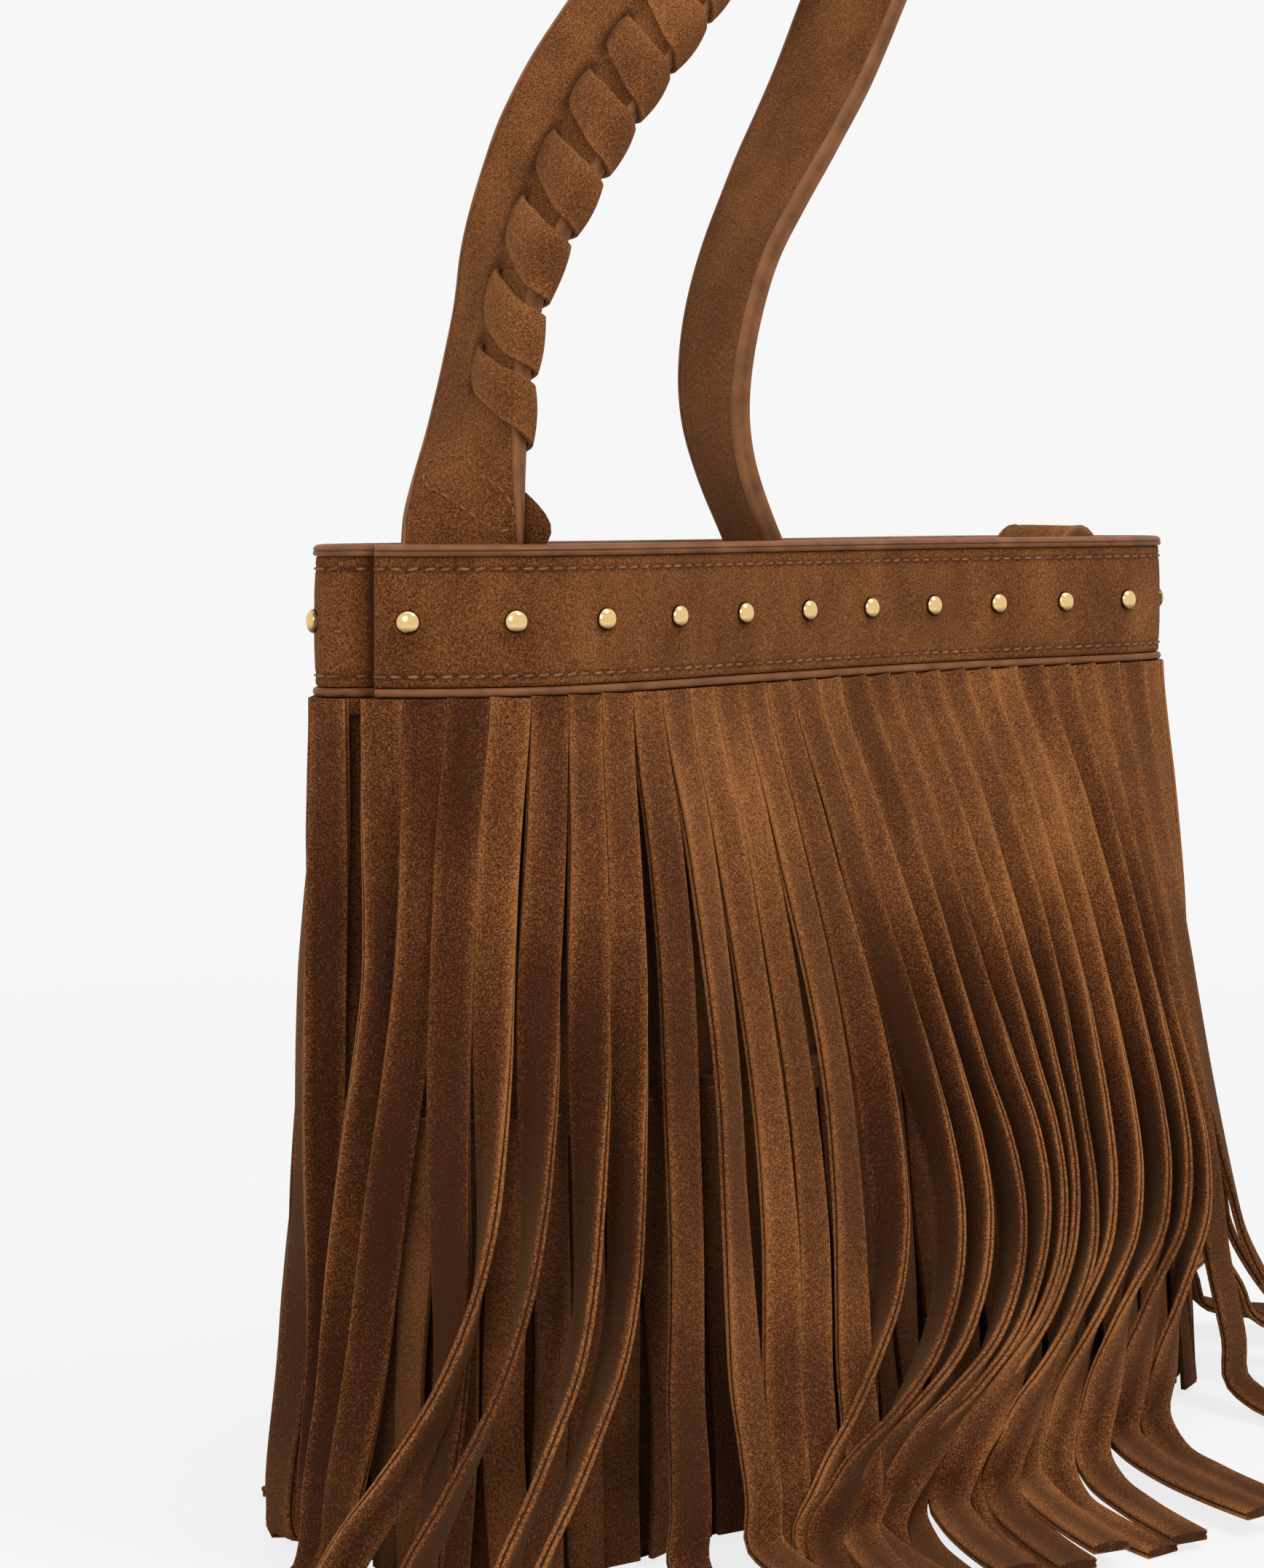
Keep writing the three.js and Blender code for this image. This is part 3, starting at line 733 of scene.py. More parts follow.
@dataclass
class RimBand:
    """The studded suede band, its painted lip, its piping, its stitching and its studs.

    Attributes:
        mouth: the line it follows.
        finishes: the bag's finishes.
        low: the band's lower edge.
        high: its upper edge.
        seams: heights of the two stitched lines.
        pitch: distance from stitch to stitch.
        piping: diameter of the piping.
        stud: diameter of a stud.
        stud_height: how far a stud stands out.
        studs: how many there are on a half.
        crease: painted shade in the crease at each side seam, as how much darker the band is there.
    """

    mouth: Mouth
    finishes: Finishes
    low: float = 247.0
    high: float = 283.7
    seams: tuple[float, float] = (250.0, 280.2)
    pitch: float = 4.7
    piping: float = 2.6
    stud: float = 7.0
    stud_height: float = 2.7
    studs: int = 12
    crease: float = -0.75

    def _swept(self, half: Half, profile: Profile, shade: Sequence[float] | float) -> Form:
        """A profile along a half's wall, with painted shade in the crease at each side seam."""
        return self.mouth.swept(half, profile, shade, self.crease, 170)

    def build(self) -> None:
        """Makes the band, lip and piping of both halves, then the stitching and studs."""
        middle = (self.low + self.high) / 2
        band = [
            (-2.0, self.low), (-0.5, self.low), (-0.1, self.low + 0.5), (0.05, self.low + 1.6),
            (-0.28, self.seams[0]), (0.1, self.seams[0] + 1.6), (0.35, middle - 8), (0.4, middle),
            (0.35, middle + 8), (0.1, self.seams[1] - 1.6), (-0.28, self.seams[1]),
            (0.0, self.seams[1] + 1.4), (-0.2, self.high - 0.3), (-0.7, self.high), (-2.0, self.high),
            (-2.0, middle),
        ]
        # Painted shade in the two stitch grooves, at the band's edges under the lip and over the piping,
        # and on its hidden back.
        groove_and_edge_shade = [-0.15, -0.1, -0.05, 0.0, -0.22, 0, 0, 0, 0, 0, -0.22, 0.0, -0.05, -0.1, -0.15, -0.1]
        for half in Half:
            form = self._swept(half, band, groove_and_edge_shade)
            made = form.piece(f"{half.word}_band_suede", self.finishes.suede, Slot.SUEDE)
            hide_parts(f"{half.word}_rim_band")
            self._lip(half)
            self._piping(half)
            self._stitching(half)
            self._studs(half)

    def _lip(self, half: Half) -> None:
        """The painted lip over the top edge: two soft ridges with a line between them."""
        z = self.mouth.top
        profile = [
            (-5.0, z - 3.0), (-5.2, z - 1.2), (-4.6, z - 0.2), (-3.4, z + 0.15), (-2.5, z - 0.25),
            (-1.5, z + 0.1), (-0.3, z - 0.1), (0.45, z - 0.7), (0.75, z - 1.3), (0.42, z - 1.75),
            (0.8, z - 2.2), (0.65, z - 2.9), (0.1, z - 3.25), (-1.8, z - 3.1),
        ]
        # Dark joint lines in the dip between the ridges and in the groove across the lip's face, and
        # painted shade on the lip's underside.
        lines = [0, 0, 0, 0, -0.12, 0, 0, 0, 0, -0.3, 0, 0, -0.15, -0.1]
        form = self._swept(half, profile, lines)
        made = form.piece(f"{half.word}_painted_lip", self.finishes.paint, Slot.PAINT)
        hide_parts(f"{half.word}_top_lip")

    def _piping(self, half: Half) -> None:
        """The piping under the band: a round cord of the band's own leather."""
        turn = np.arange(12) * np.pi / 6
        radius = self.piping / 2
        centre = self.low - 0.3 - radius
        profile = [(-0.5 + radius * np.sin(a), centre + radius * np.cos(a)) for a in turn]
        form = self._swept(half, profile, -0.05)
        made = form.piece(f"{half.word}_piping", self.finishes.paint, Slot.PAINT)
        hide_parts(f"{half.word}_bottom_piping")

    def _stitching(self, half: Half) -> None:
        """Two lines of stitches along the band, each stitch a little askew."""
        rng = np.random.default_rng(SEED + half.value)
        count = int(self.mouth.length() / self.pitch)
        whole: Form | None = None
        for height in self.seams:
            spot, along, out = self.mouth.sewn(half, count, height, -0.25)
            along = unit(along + np.array([0, 0, 1]) * rng.normal(0.07, 0.06, count)[:, None])
            row = stitches(spot, along, out, self.pitch * 0.72, 0.85)
            whole = row if whole is None else whole.joined(row)
        whole.piece(f"{half.word}_band_stitching", self.finishes.thread, Slot.DARK_SUEDE)

    def _studs(self, half: Half) -> None:
        """Domed studs where the CAD has them: half an ellipsoid over a short straight foot.

        Painted shade darkens a stud round its foot, and a painted dark reflection darkens its underside.
        """
        turn = np.arange(28) * 2 * np.pi / 28
        rise = np.linspace(0.0, np.pi / 2, 9)[:-1]
        share = np.concatenate([[0.97], np.cos(rise), [0.04]])
        dome = 0.65 + np.sin(rise) * (self.stud_height - 0.5)
        lift = np.concatenate([[0.1], dome, [self.stud_height + 0.15]])
        below = -np.sin(turn)[None] * share[:, None]
        # Painted shade round the stud's foot, and a painted dark reflection on its underside.
        painted_foot_shade_and_reflection = -0.55 * (1 - smoothstep(0.5, 1.9, lift))[None, :, None]
        painted_foot_shade_and_reflection = painted_foot_shade_and_reflection - 0.34 * smoothstep(0.2, 0.75, below)[None]
        up = np.array([0.0, 0.0, 1.0])
        for number in range(1, self.studs + 1):
            node = f"stud_{half.word}_{number:02d}"
            low, high = (np.array(corner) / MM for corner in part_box(node))
            height = np.array((low[2] + high[2]) / 2)
            spot, _, out = self.mouth.frame(half, np.array((number - 0.5) / self.studs), height)
            centre, out = raised(spot, height), raised(out)
            across = np.cross(out, up)
            ring = np.cos(turn)[:, None] * across + np.sin(turn)[:, None] * up
            radius = share * self.stud / 2
            rings = centre + ring[None] * radius[:, None, None] + out * lift[:, None, None]
            form = Form.tubes(rings[None], painted_foot_shade_and_reflection)
            made = form.piece(f"gold_{node}", self.finishes.gold, Slot.GOLD, 75.0)
            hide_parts(node)


@dataclass
class Walls:
    """The bag's own suede walls, its lining and its base, behind the fringe.

    Attributes:
        mouth: the line they follow.
        finishes: the bag's finishes.
        thickness: of a wall.
    """

    mouth: Mouth
    finishes: Finishes
    thickness: float = 1.2

    def _layer(self, half: Half, low: float, high: float, outer: float, thick: float) -> Form:
        """A curved sheet on the wall, closed round its edge, with soft sags of 0.8 mm.

        The sag is 0.8 * sin(42u + z/40) * sin(pi * fraction of the height).

        Args:
            half: which half.
            low: height of its lower edge.
            high: height of its upper edge.
            outer: distance of its outer face off the wall.
            thick: its thickness.

        Returns:
            The sheet.
        """
        u = along_seamed(120)[:, None]
        up = np.linspace(0.0, 1.0, 60)
        round_way = np.concatenate([up, up[::-1]])
        z = low + (high - low) * round_way
        side = np.repeat([outer, outer - thick], 60)
        sag = 0.8 * np.sin(42 * u + z / 40) * np.sin(np.pi * round_way)
        return Form.tubes(self.mouth.on_wall(half, u, z[None], side + sag)[None])

    def build(self) -> None:
        """Makes both wall panels and the lining, and gives the base its finish."""
        inside: Form | None = None
        for half in Half:
            wall = self._layer(half, 3.4, 283.0, -2.5, self.thickness)
            made = wall.piece(f"{half.word}_wall_suede", self.finishes.shaded, Slot.DARK_SUEDE)
            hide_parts(f"{half.word}_body_panel")
            layer = self._layer(half, 4.2, 282.5, -4.7, 0.8)
            inside = layer if inside is None else inside.joined(layer)
        made = inside.joined(self._bottom()).piece("inner_lining", self.finishes.lining, Slot.LINING)
        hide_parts("lining")
        base = bpy.data.objects.get("base_panel")
        if base is not None:
            base.data.materials.clear()
            base.data.materials.append(self.finishes.shaded)

    def _bottom(self) -> Form:
        """The lining's floor: rings of the base outline drawn in to the middle, 0.8 thick."""
        u = np.linspace(0.0, 1.0, 60, endpoint=False)
        front = self.mouth.plan(Half.FRONT, u, np.zeros(60))
        outline = np.concatenate([front, -front])
        shares = np.array([0.02, 0.5, 0.93, 0.93, 0.5, 0.02])
        heights = np.array([4.3, 4.3, 4.3, 3.5, 3.5, 3.5])
        return Form.tubes(raised(outline * shares[:, None, None], heights[:, None])[None])


# The fringe

HANG_U = np.array(
    [
        0.017, 0.05, 0.083, 0.117, 0.15, 0.183, 0.217, 0.25, 0.283, 0.383,
        0.417, 0.45, 0.55, 0.65, 0.75, 0.817, 0.85, 0.917, 0.983,
    ]
)
"""Places along the front, as shares of its length, where the hang of a strip is known."""

SWAY_Z = np.array([0.0, 20.0, 45.0, 70.0, 95.0, 130.0, 165.0, 200.0, 240.0])
SWAY = np.array(
    [
        [-12, -17, 4, -50, -60, -64, -68, -16, -4, -14, -46, -62, -66, -66, -62, -40, -6, -2, 0],
        [-11, -16, 4, -42, -50, -54, -58, -14, -2, -10, -34, -46, -52, -54, -54, -30, 0, 2, 0],
        [-9, -14, 3, -25, -30, -33, -36, -9, 1, -2, -8, 0, -2, -16, -24, -10, 4, 4, 0],
        [-7, -10, 2, -14, -16, -17, -19, -4, 4, 4, 10, 20, 20, 6, 4, 6, 5, 3, 0],
        [-5, -6, 0, -9, -10, -11, -12, 0, 6, 9, 15, 24, 26, 12, 11, 9, 5, 2, 0],
        [-3, -2, -2, -7, -7, -7, -7, 3, 8, 12, 17, 20, 19, 14, 11, 7, 4, 0, -1],
        [0, 0, -3, -6, -6, -5, -4, 4, 7, 10, 13, 14, 14, 13, 10, 6, 3, 0, -1],
        [0, 0, -3, -4, -3, -2, -2, 3, 5, 6, 7, 8, 10, 10, 8, 4, 2, 0, 0],
        [0, 0, 0, 0, 0, 0, 0, 0, 0, 0, 0, 0, 0, 0, 0, 0, 0, 0, 0],
    ],
    dtype=float,
)
"""Sideways swing of the front strips in mm, positive towards the bag's right.

Rows are the heights SWAY_Z and columns the places HANG_U along the half.
"""

STAND_Z = np.array([0.0, 18.0, 50.0, 90.0, 130.0, 170.0, 205.0, 235.0, 245.0])
STAND = np.array([26.0, 26.0, 18.0, 13.0, 9.0, 6.0, 3.0, 0.0, -0.5])
"""Distance of the fringe off the wall by height, before its growth to the right."""

GROWTH_U = np.array([0.0, 0.1, 0.33, 0.45, 0.75, 0.85, 1.0])
FRONT_GROWTH = np.array([0.6, 0.75, 1.3, 1.55, 1.5, 0.9, 0.75])
BACK_GROWTH = np.array([0.25, 0.4, 0.9, 1.1, 1.2, 0.9, 0.75])
FLARE = 22.0
"""How many times further than STAND the fringe stands off, along the half, and how far its
right end flares out over the last 60 mm above the floor."""

TURN_Z = np.array([0.0, 18.0, 40.0, 65.0, 90.0, 125.0, 160.0, 190.0, 215.0, 240.0])
TURN = np.array(
    [
        [-10, -8, 10, 170, 176, 176, 176, 14, 10, 4, 208, 216, 216, 214, 212, 206, -14, 18, 41],
        [-14, -12, 12, 156, 160, 160, 160, 10, 6, 2, 178, 190, 190, 188, 184, 176, -12, 14, 34],
        [-26, -26, 14, 132, 138, 140, 138, 4, 0, -2, 134, 148, 150, 148, 144, 134, -8, 10, 24],
        [-40, -40, 14, 110, 118, 120, 118, -2, -4, -4, 100, 116, 118, 116, 112, 104, -4, 6, 14],
        [-44, -44, 12, 90, 98, 100, 98, -6, -6, -4, 72, 96, 100, 98, 92, 82, 0, 4, 8],
        [-46, -46, 8, 60, 70, 72, 70, -8, -6, -4, 44, 66, 74, 72, 64, 54, 4, 4, 4],
        [-44, -44, 4, 26, 32, 34, 30, -6, -5, -3, 18, 30, 36, 36, 32, 26, 4, 2, 0],
        [-34, -34, 2, 8, 9, 9, 6, -3, -3, -2, 5, 8, 12, 12, 10, 8, 2, 0, 0],
        [-16, -16, 0, 0, 0, 0, 0, 0, 0, 0, 0, 0, 2, 2, 2, 0, 0, 0, 0],
        [0, 0, 0, 0, 0, 0, 0, 0, 0, 0, 0, 0, 0, 0, 0, 0, 0, 0, 0],
    ],
    dtype=float,
)
"""How far the front strips are turned, in degrees, positive with the right edge outwards."""

BACK_U = np.array([0.0, 0.03, 0.08, 0.2, 0.5, 0.9, 1.0])
BACK_SWAY = np.array([4.0, 3.0, 2.0, 8.0, 12.0, 10.0, -2.0])
BACK_TURN = np.array([-60.0, -55.0, 6.0, -12.0, 10.0, 14.0, -20.0])
BACK_HEADING = np.array([-30.0, -20.0, 10.0, 50.0, 30.0, 10.0, -50.0])
"""The back's plainer hang, by place from its left end: swing to the right at the floor, turn
halfway down, and the turn with which the strips run on along the floor."""

FLOOR_U = np.array([0.0, 0.1, 0.22, 0.4, 0.43, 0.7, 0.82, 1.0])
FRONT_RUN = np.array([24.0, 34.0, 50.0, 60.0, 75.0, 75.0, 76.0, 76.0])
BACK_RUN = np.array([-6.0, -2.0, 20.0, 50.0, 52.0, 66.0, 70.0, 72.0])
"""How far the strips run on along the floor, at the front and at the back."""

BEND_U = np.array([0.0, 0.4, 0.42, 0.82, 0.84, 1.0])
BEND = np.radians([0.0, 0.0, -34.0, -34.0, 14.0, 14.0])
"""How much the front strips' way along the floor bends to the right from start to end."""


@dataclass
class Fringe:
    """The long fringe of one half: a header and its strips, each a doubled band of suede.

    Attributes:
        mouth: the wall it hangs on.
        finishes: the bag's finishes.
        half: which half it belongs to.
        strips: how many strips there are.
        width: a strip's width.
        thickness: a strip's thickness.
        top: height of its upper edge.
        header: height of the uncut part.
        margin: distance of the outer strips from the side seams.
        hanging: length of a strip from its upper edge to the floor.
        cut: length of the flat sheet, with the strips' ends on the floor.
        slits: length of the cuts between its strips; not used.
        stations: how many cross-sections a strip has.
    """

    mouth: Mouth
    finishes: Finishes
    half: Half
    strips: int = 30
    width: float = 11.9
    thickness: float = 3.0
    top: float = 243.8
    header: float = 4.5
    margin: float = 2.0
    hanging: float = 258.0
    cut: float = 322.0
    slits: float = 314.0
    stations: int = 92

    def _share(self, u: np.ndarray) -> np.ndarray:
        """Place along the bag from its left end to its right, for either half."""
        return u if self.half is Half.FRONT else 1 - u

    def _floor_run(self, share: np.ndarray) -> np.ndarray:
        """How far the strips run on along the floor, by their place along the bag."""
        return np.interp(share, FLOOR_U, FRONT_RUN if self.half is Half.FRONT else BACK_RUN)

    def _section(self) -> tuple[np.ndarray, np.ndarray]:
        """Cross-section of a strip: two layers with a groove between them at each cut edge.

        Returns:
            The section's points as (across, out), and the shade of each.
        """
        w, h = self.width / 2, self.thickness / 2
        edge = [(w - 0.35, h, 0.15), (w - 0.03, h - 0.3, 0.3), (w, 0.42, 0.28), (w - 0.45, 0.0, -0.65)]
        under = [(x, -y, shade) for x, y, shade in edge[2::-1]]
        right = edge + under
        left = [(-x, y, shade) for x, y, shade in right[::-1]]
        section = [(-w / 2, h, 0.0), (0.0, h, 0.0), (w / 2, h, 0.0), *right, (0.0, -h, 0.0), *left]
        points = [row[:2] for row in section]
        shade = [row[2] for row in section]
        return np.array(points), np.array(shade)

    def _centres(self, u: np.ndarray, rng: np.random.Generator) -> tuple[np.ndarray, np.ndarray]:
        """Control points of the strips, and how far each is turned there.

        Down the wall a point is wall + out * stand-off + along * sway. On the floor the strip
        runs on at right angles to its own width.

        Args:
            u: place of each strip.
            rng: source of the small differences from strip to strip.

        Returns:
            Points of strips x rows x 3, and turns of strips x rows in radians.
        """
        count = len(u)
        share = self._share(u)
        z = np.array([self.top, 236, 222, 205, 186, 165, 144, 123, 103, 84, 66, 50, 35, 22, 11])
        depth = smoothstep(240.0, 60.0, z)
        if self.half is Half.FRONT:
            sway = along_rows(share, HANG_U, through(SWAY_Z, SWAY, z).T)
            turn = np.radians(along_rows(share, HANG_U, through(TURN_Z, TURN, z).T))
            end = np.radians(np.interp(share, HANG_U, TURN[0]))
        else:
            swing = np.interp(share, BACK_U, BACK_SWAY)[:, None]
            sway = -swing * smoothstep(200.0, 30.0, z)
            end = np.radians(np.interp(share, BACK_U, BACK_HEADING))
            halfway = np.radians(np.interp(share, BACK_U, BACK_TURN))[:, None]
            low = smoothstep(60.0, 5.0, z)
            turn = halfway * smoothstep(240.0, 150.0, z) * (1 - low) + end[:, None] * low
        wave = rng.uniform(0, 2 * np.pi, count)[:, None]
        sway = sway + (rng.normal(0, 1.2, count)[:, None] + 1.2 * np.sin(wave + z / 34)) * depth
        growth = FRONT_GROWTH if self.half is Half.FRONT else BACK_GROWTH
        grown = np.interp(share, GROWTH_U, growth)[:, None]
        stand = through(STAND_Z, STAND[:, None], z)[:, 0][None] * grown
        stand = stand + (rng.uniform(-1.0, 3.0, count)[:, None] + 1.5 * np.cos(wave + z / 27)) * depth
        stand = stand + FLARE * smoothstep(0.82, 0.93, share)[:, None] * smoothstep(62.0, 0.0, z) ** 1.4
        stand = np.maximum(stand, -0.4 + 5.2 * np.abs(np.sin(turn)))
        wall, along, out = self.mouth.frame(self.half, u[:, None], z[None, :])
        flat = wall + along * sway[..., None] + out * stand[..., None]
        hung = raised(flat, z)
        turn = turn + np.radians(7.0) * np.sin(wave * 1.7 + z / 30) * depth
        turn = turn + np.radians(rng.normal(0, 6.0, count))[:, None] * smoothstep(240.0, 205.0, z)
        run = self._floor_run(share)
        level = 1.5 + 2.6 * (np.arange(count) % 3)
        reach = np.array([9.0, 26.0, 44.0, 66.0, 92.0])
        bend = np.interp(share, BEND_U, BEND) if self.half is Half.FRONT else np.zeros(count)
        curl = rng.normal(0.0, 0.16, count)[:, None] * np.linspace(0, 1, len(reach)) ** 1.3
        curl = curl + bend[:, None] * (reach / reach[-1])
        heading = end[:, None] + curl
        way = out[:, -1, None] * np.cos(heading)[..., None]
        way = way - along[:, -1, None] * np.sin(heading)[..., None]
        way = np.where(np.abs(end)[:, None, None] > np.pi / 2, -way, way)
        stretch = np.minimum(run / 60.0, 1.2)[:, None, None]
        step = np.diff(np.concatenate([[0.0], reach]))[None, :, None] * stretch
        spots = flat[:, -1, None] + np.cumsum(way * step, axis=1)
        height = level[:, None] + 5.0 * np.exp(-reach / 7.0)
        points = np.concatenate([hung, raised(spots, height)], axis=1)
        return points, np.concatenate([turn, heading], axis=1)

    def _strips(self) -> Form:
        """All the strips: the section carried along each strip's centre line.

        Painted shade darkens a strip where it is turned edge on, low down and near the bag's left end.
        """
        rng = np.random.default_rng(SEED * 3 + self.half.value)
        u = self.mouth.places(self.strips, self.margin)
        share = self._share(u)
        points, turns = self._centres(u, rng)
        dense = rounded_path(points, 12)
        rows, samples = (np.linspace(0, 1, size) for size in (turns.shape[1], dense.shape[1]))
        turned = along_rows(samples, rows, turns.T).T
        run = self.hanging + self._floor_run(share)
        paths, twists = [], []
        for line, twist, length in zip(dense, turned, run):
            far = travelled(line)
            at = np.linspace(0.0, min(length, far[-1]), self.stations)
            paths.append(along_rows(at, far, line))
            twists.append(np.interp(at, far, twist))
        path, twist = np.stack(paths), np.stack(twists)
        height = path[..., 2]
        _, along, out = self.mouth.frame(self.half, u[:, None], np.clip(height, 0, self.top))
        across = raised(along * np.cos(twist)[..., None] + out * np.sin(twist)[..., None])
        heading = unit(np.gradient(path, axis=1))
        across = unit(across - heading * np.sum(across * heading, axis=-1, keepdims=True))
        face = np.cross(across, heading)
        face = face * np.sign(np.sum(face[:, :1, :2] * out[:, :1], axis=-1, keepdims=True))
        section, shade = self._section()
        rings = path[:, :, None] + across[:, :, None] * section[:, :1]
        rings = rings + face[:, :, None] * section[:, 1:]
        rings[..., 2] = np.maximum(rings[..., 2], 0.2)
        # Painted shade: faces turned edge on, the lower part and the bag's left end are darker; tone then
        # adds each strip's random tone to it.
        edge_on = np.abs(np.sin(np.clip(twist, -1.6, 1.6)))[..., None]
        away = -0.18 * edge_on * (np.abs(shade) < 0.1)
        away = away - 0.13 * smoothstep(200.0, 80.0, height)[..., None]
        away = away - 0.16 * smoothstep(0.24, 0.12, share)[:, None, None]
        tone = rng.normal(0, 0.07, self.strips)[:, None, None] + away
        slow = 0.06 * np.sin(height / 23 + rng.uniform(0, 6.3, self.strips)[:, None])[..., None]
        return Form.tubes(rings, shade[None, None, :] + tone + slow)

    def _header(self) -> Form:
        """The uncut part of the fringe, tucked under the piping."""
        low, high = self.top - self.header, self.top
        profile = [
            (-0.3, low), (0.75, low), (1.05, low + 0.6), (0.5, high),
            (-0.6, high), (-1.4, high), (-1.2, low),
        ]
        return self.mouth.swept(self.half, profile)

    def build(self) -> None:
        name = f"upper_fringe_{self.half.word}"
        form = self._strips().joined(self._header())
        made = form.piece(f"long_{self.half.word}_fringe", self.finishes.fringe, Slot.SUEDE, 38.0)
        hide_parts(name)
        cut = (self.mouth.length() * MM, self.cut * MM)


@dataclass
class SecondTier:
    """The short fringe under the long one, sewn across the wall.

    Attributes:
        mouth: the wall it hangs on.
        finishes: the bag's finishes.
        half: which half it belongs to.
        strips: how many strips there are.
        width: a strip's width.
        thickness: a strip's thickness.
        top: height of its sewn edge.
        bottom: height where its strips end.
        margin: distance of the outer strips from the side seams.
        slits: length of the cuts between its strips; not used.
        stitches: how many stitches hold it.
    """

    mouth: Mouth
    finishes: Finishes
    half: Half
    strips: int = 30
    width: float = 11.4
    thickness: float = 1.6
    top: float = 131.0
    bottom: float = 2.5
    margin: float = 2.0
    slits: float = 128.0
    stitches: int = 78

    def build(self) -> None:
        """Makes the strips, the header over them and its line of stitches."""
        form = self._strips().joined(self._header())
        made = form.piece(f"second_{self.half.word}_fringe", self.finishes.shaded, Slot.DARK_SUEDE)
        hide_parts(f"lower_fringe_{self.half.word}")
        cut = (self.mouth.length() * MM, (self.top - self.bottom) * MM)
        self._sewing()

    def _strips(self) -> Form:
        """Plain strips: a point is wall + out * stand-off + along * swing, both sine waves."""
        rng = np.random.default_rng(SEED * 5 + self.half.value)
        u = self.mouth.places(self.strips, self.margin)
        z = np.linspace(self.top - 3, self.bottom, 30)
        drop = smoothstep(self.top - 5, 20.0, z)
        wave = rng.uniform(0, 6.3, self.strips)[:, None]
        swing = (2.0 * np.sin(wave + z / 25) + rng.normal(0, 1.5, self.strips)[:, None]) * drop
        loose = 1.6 + 1.0 * np.cos(wave + z / 31) + rng.uniform(0, 1.5, self.strips)[:, None]
        stand = 0.3 + loose * drop
        wall, along, out = self.mouth.frame(self.half, u[:, None], z[None])
        path = raised(wall + along * swing[..., None] + out * stand[..., None], z)
        lean = np.radians(14.0) * np.sin(wave * 2.1 + z / 28) * drop
        across = along * np.cos(lean)[..., None] + out * np.sin(lean)[..., None]
        face = out * np.cos(lean)[..., None] - along * np.sin(lean)[..., None]
        w, h = self.width / 2, self.thickness / 2
        section = [(-w, h - 0.2), (-w + 0.3, h), (w - 0.3, h), (w, h - 0.2), (w, -h), (-w, -h)]
        wide, deep = np.array(section).T[..., None]
        rings = path[:, :, None] + raised(across[:, :, None] * wide + face[:, :, None] * deep)
        tone = rng.normal(0, 0.06, self.strips)[:, None, None]
        # Painted light on each strip's outer face and painted shade on its face towards the wall, plus
        # each strip's random tone.
        shade = np.array([0.1, 0.08, 0.08, 0.1, -0.1, -0.1])[None, None] + tone
        return Form.tubes(rings, shade)

    def _header(self) -> Form:
        """The uncut part that is sewn to the wall, with a turned upper edge."""
        low, high = self.top - 9.0, self.top
        profile = [
            (-1.9, low), (0.9, low), (1.0, low + 4), (0.6, low + 6),
            (1.0, high - 0.8), (0.5, high), (-1.9, high),
        ]
        return self.mouth.swept(self.half, profile, 0.02)

    def _sewing(self) -> None:
        """One line of stitches through the header."""
        line = self.mouth.sewn(self.half, self.stitches, self.top - 3.0, 0.65)
        row = stitches(*line, 3.4, 0.8)
        row.piece(f"second_{self.half.word}_stitching", self.finishes.thread, Slot.DARK_SUEDE)


# The strap

STRAP_ROUTE = np.array(
    [
        (-138.3, -11.2, -42, -31, 30), (-138.3, -11.2, -18, -33, 32), (-137, -9.7, 0, -42, 34),
        (-133, -7.5, 18, -70, 34), (-126.3, -3, 34, -85, 34.5), (-120.5, 0, 50, -92, 36),
        (-115.7, 0, 70, -95, 37), (-110, 0, 88, -84, 38), (-101.6, 0, 105, -74, 39),
        (-91, 0, 124, -64, 40), (-77, 0, 143, -54, 40), (-58, 0, 165, -48, 40),
        (-33, 0, 195, -50, 40), (-8, 0, 223, -58, 40), (14, 0, 238, -68, 40),
        (36, 0, 234, -76, 40), (47, 0, 216, -80, 40), (43, 0, 194, -82, 40),
        (33, 0, 175, -83, 40), (18, 0, 147, -84, 39), (3, 0, 124, -87, 38),
        (-9, 0, 105, -93, 37), (-19, 0, 88, -98, 36), (-25.6, 0, 70, -100, 36),
        (-29, 0, 52.6, -102, 35), (-29, 0, 37.4, -105, 34), (-24.6, -0.5, 21.4, -108, 32),
        (-13.3, -0.9, 0, -109, 30), (0, 0, -20, -104, 30), (22, 2, -44, -95, 30),
        (52, 3.5, -58, -90, 30), (84, 4, -50, -90, 30), (107, 3, -28, -90, 30),
        (119.5, 1.5, -10, -90, 30), (123.5, 1, 0, -90, 30), (129.5, 0.5, 3.4, -90, 30),
        (135.5, 0, 0, -90, 30), (138, -0.5, -12, -90, 30), (138.5, -0.5, -40, -90, 30),
    ],
    dtype=float,
)
"""Centre line of the strap: x, y, height over the lip, bearing of its front edge, width."""


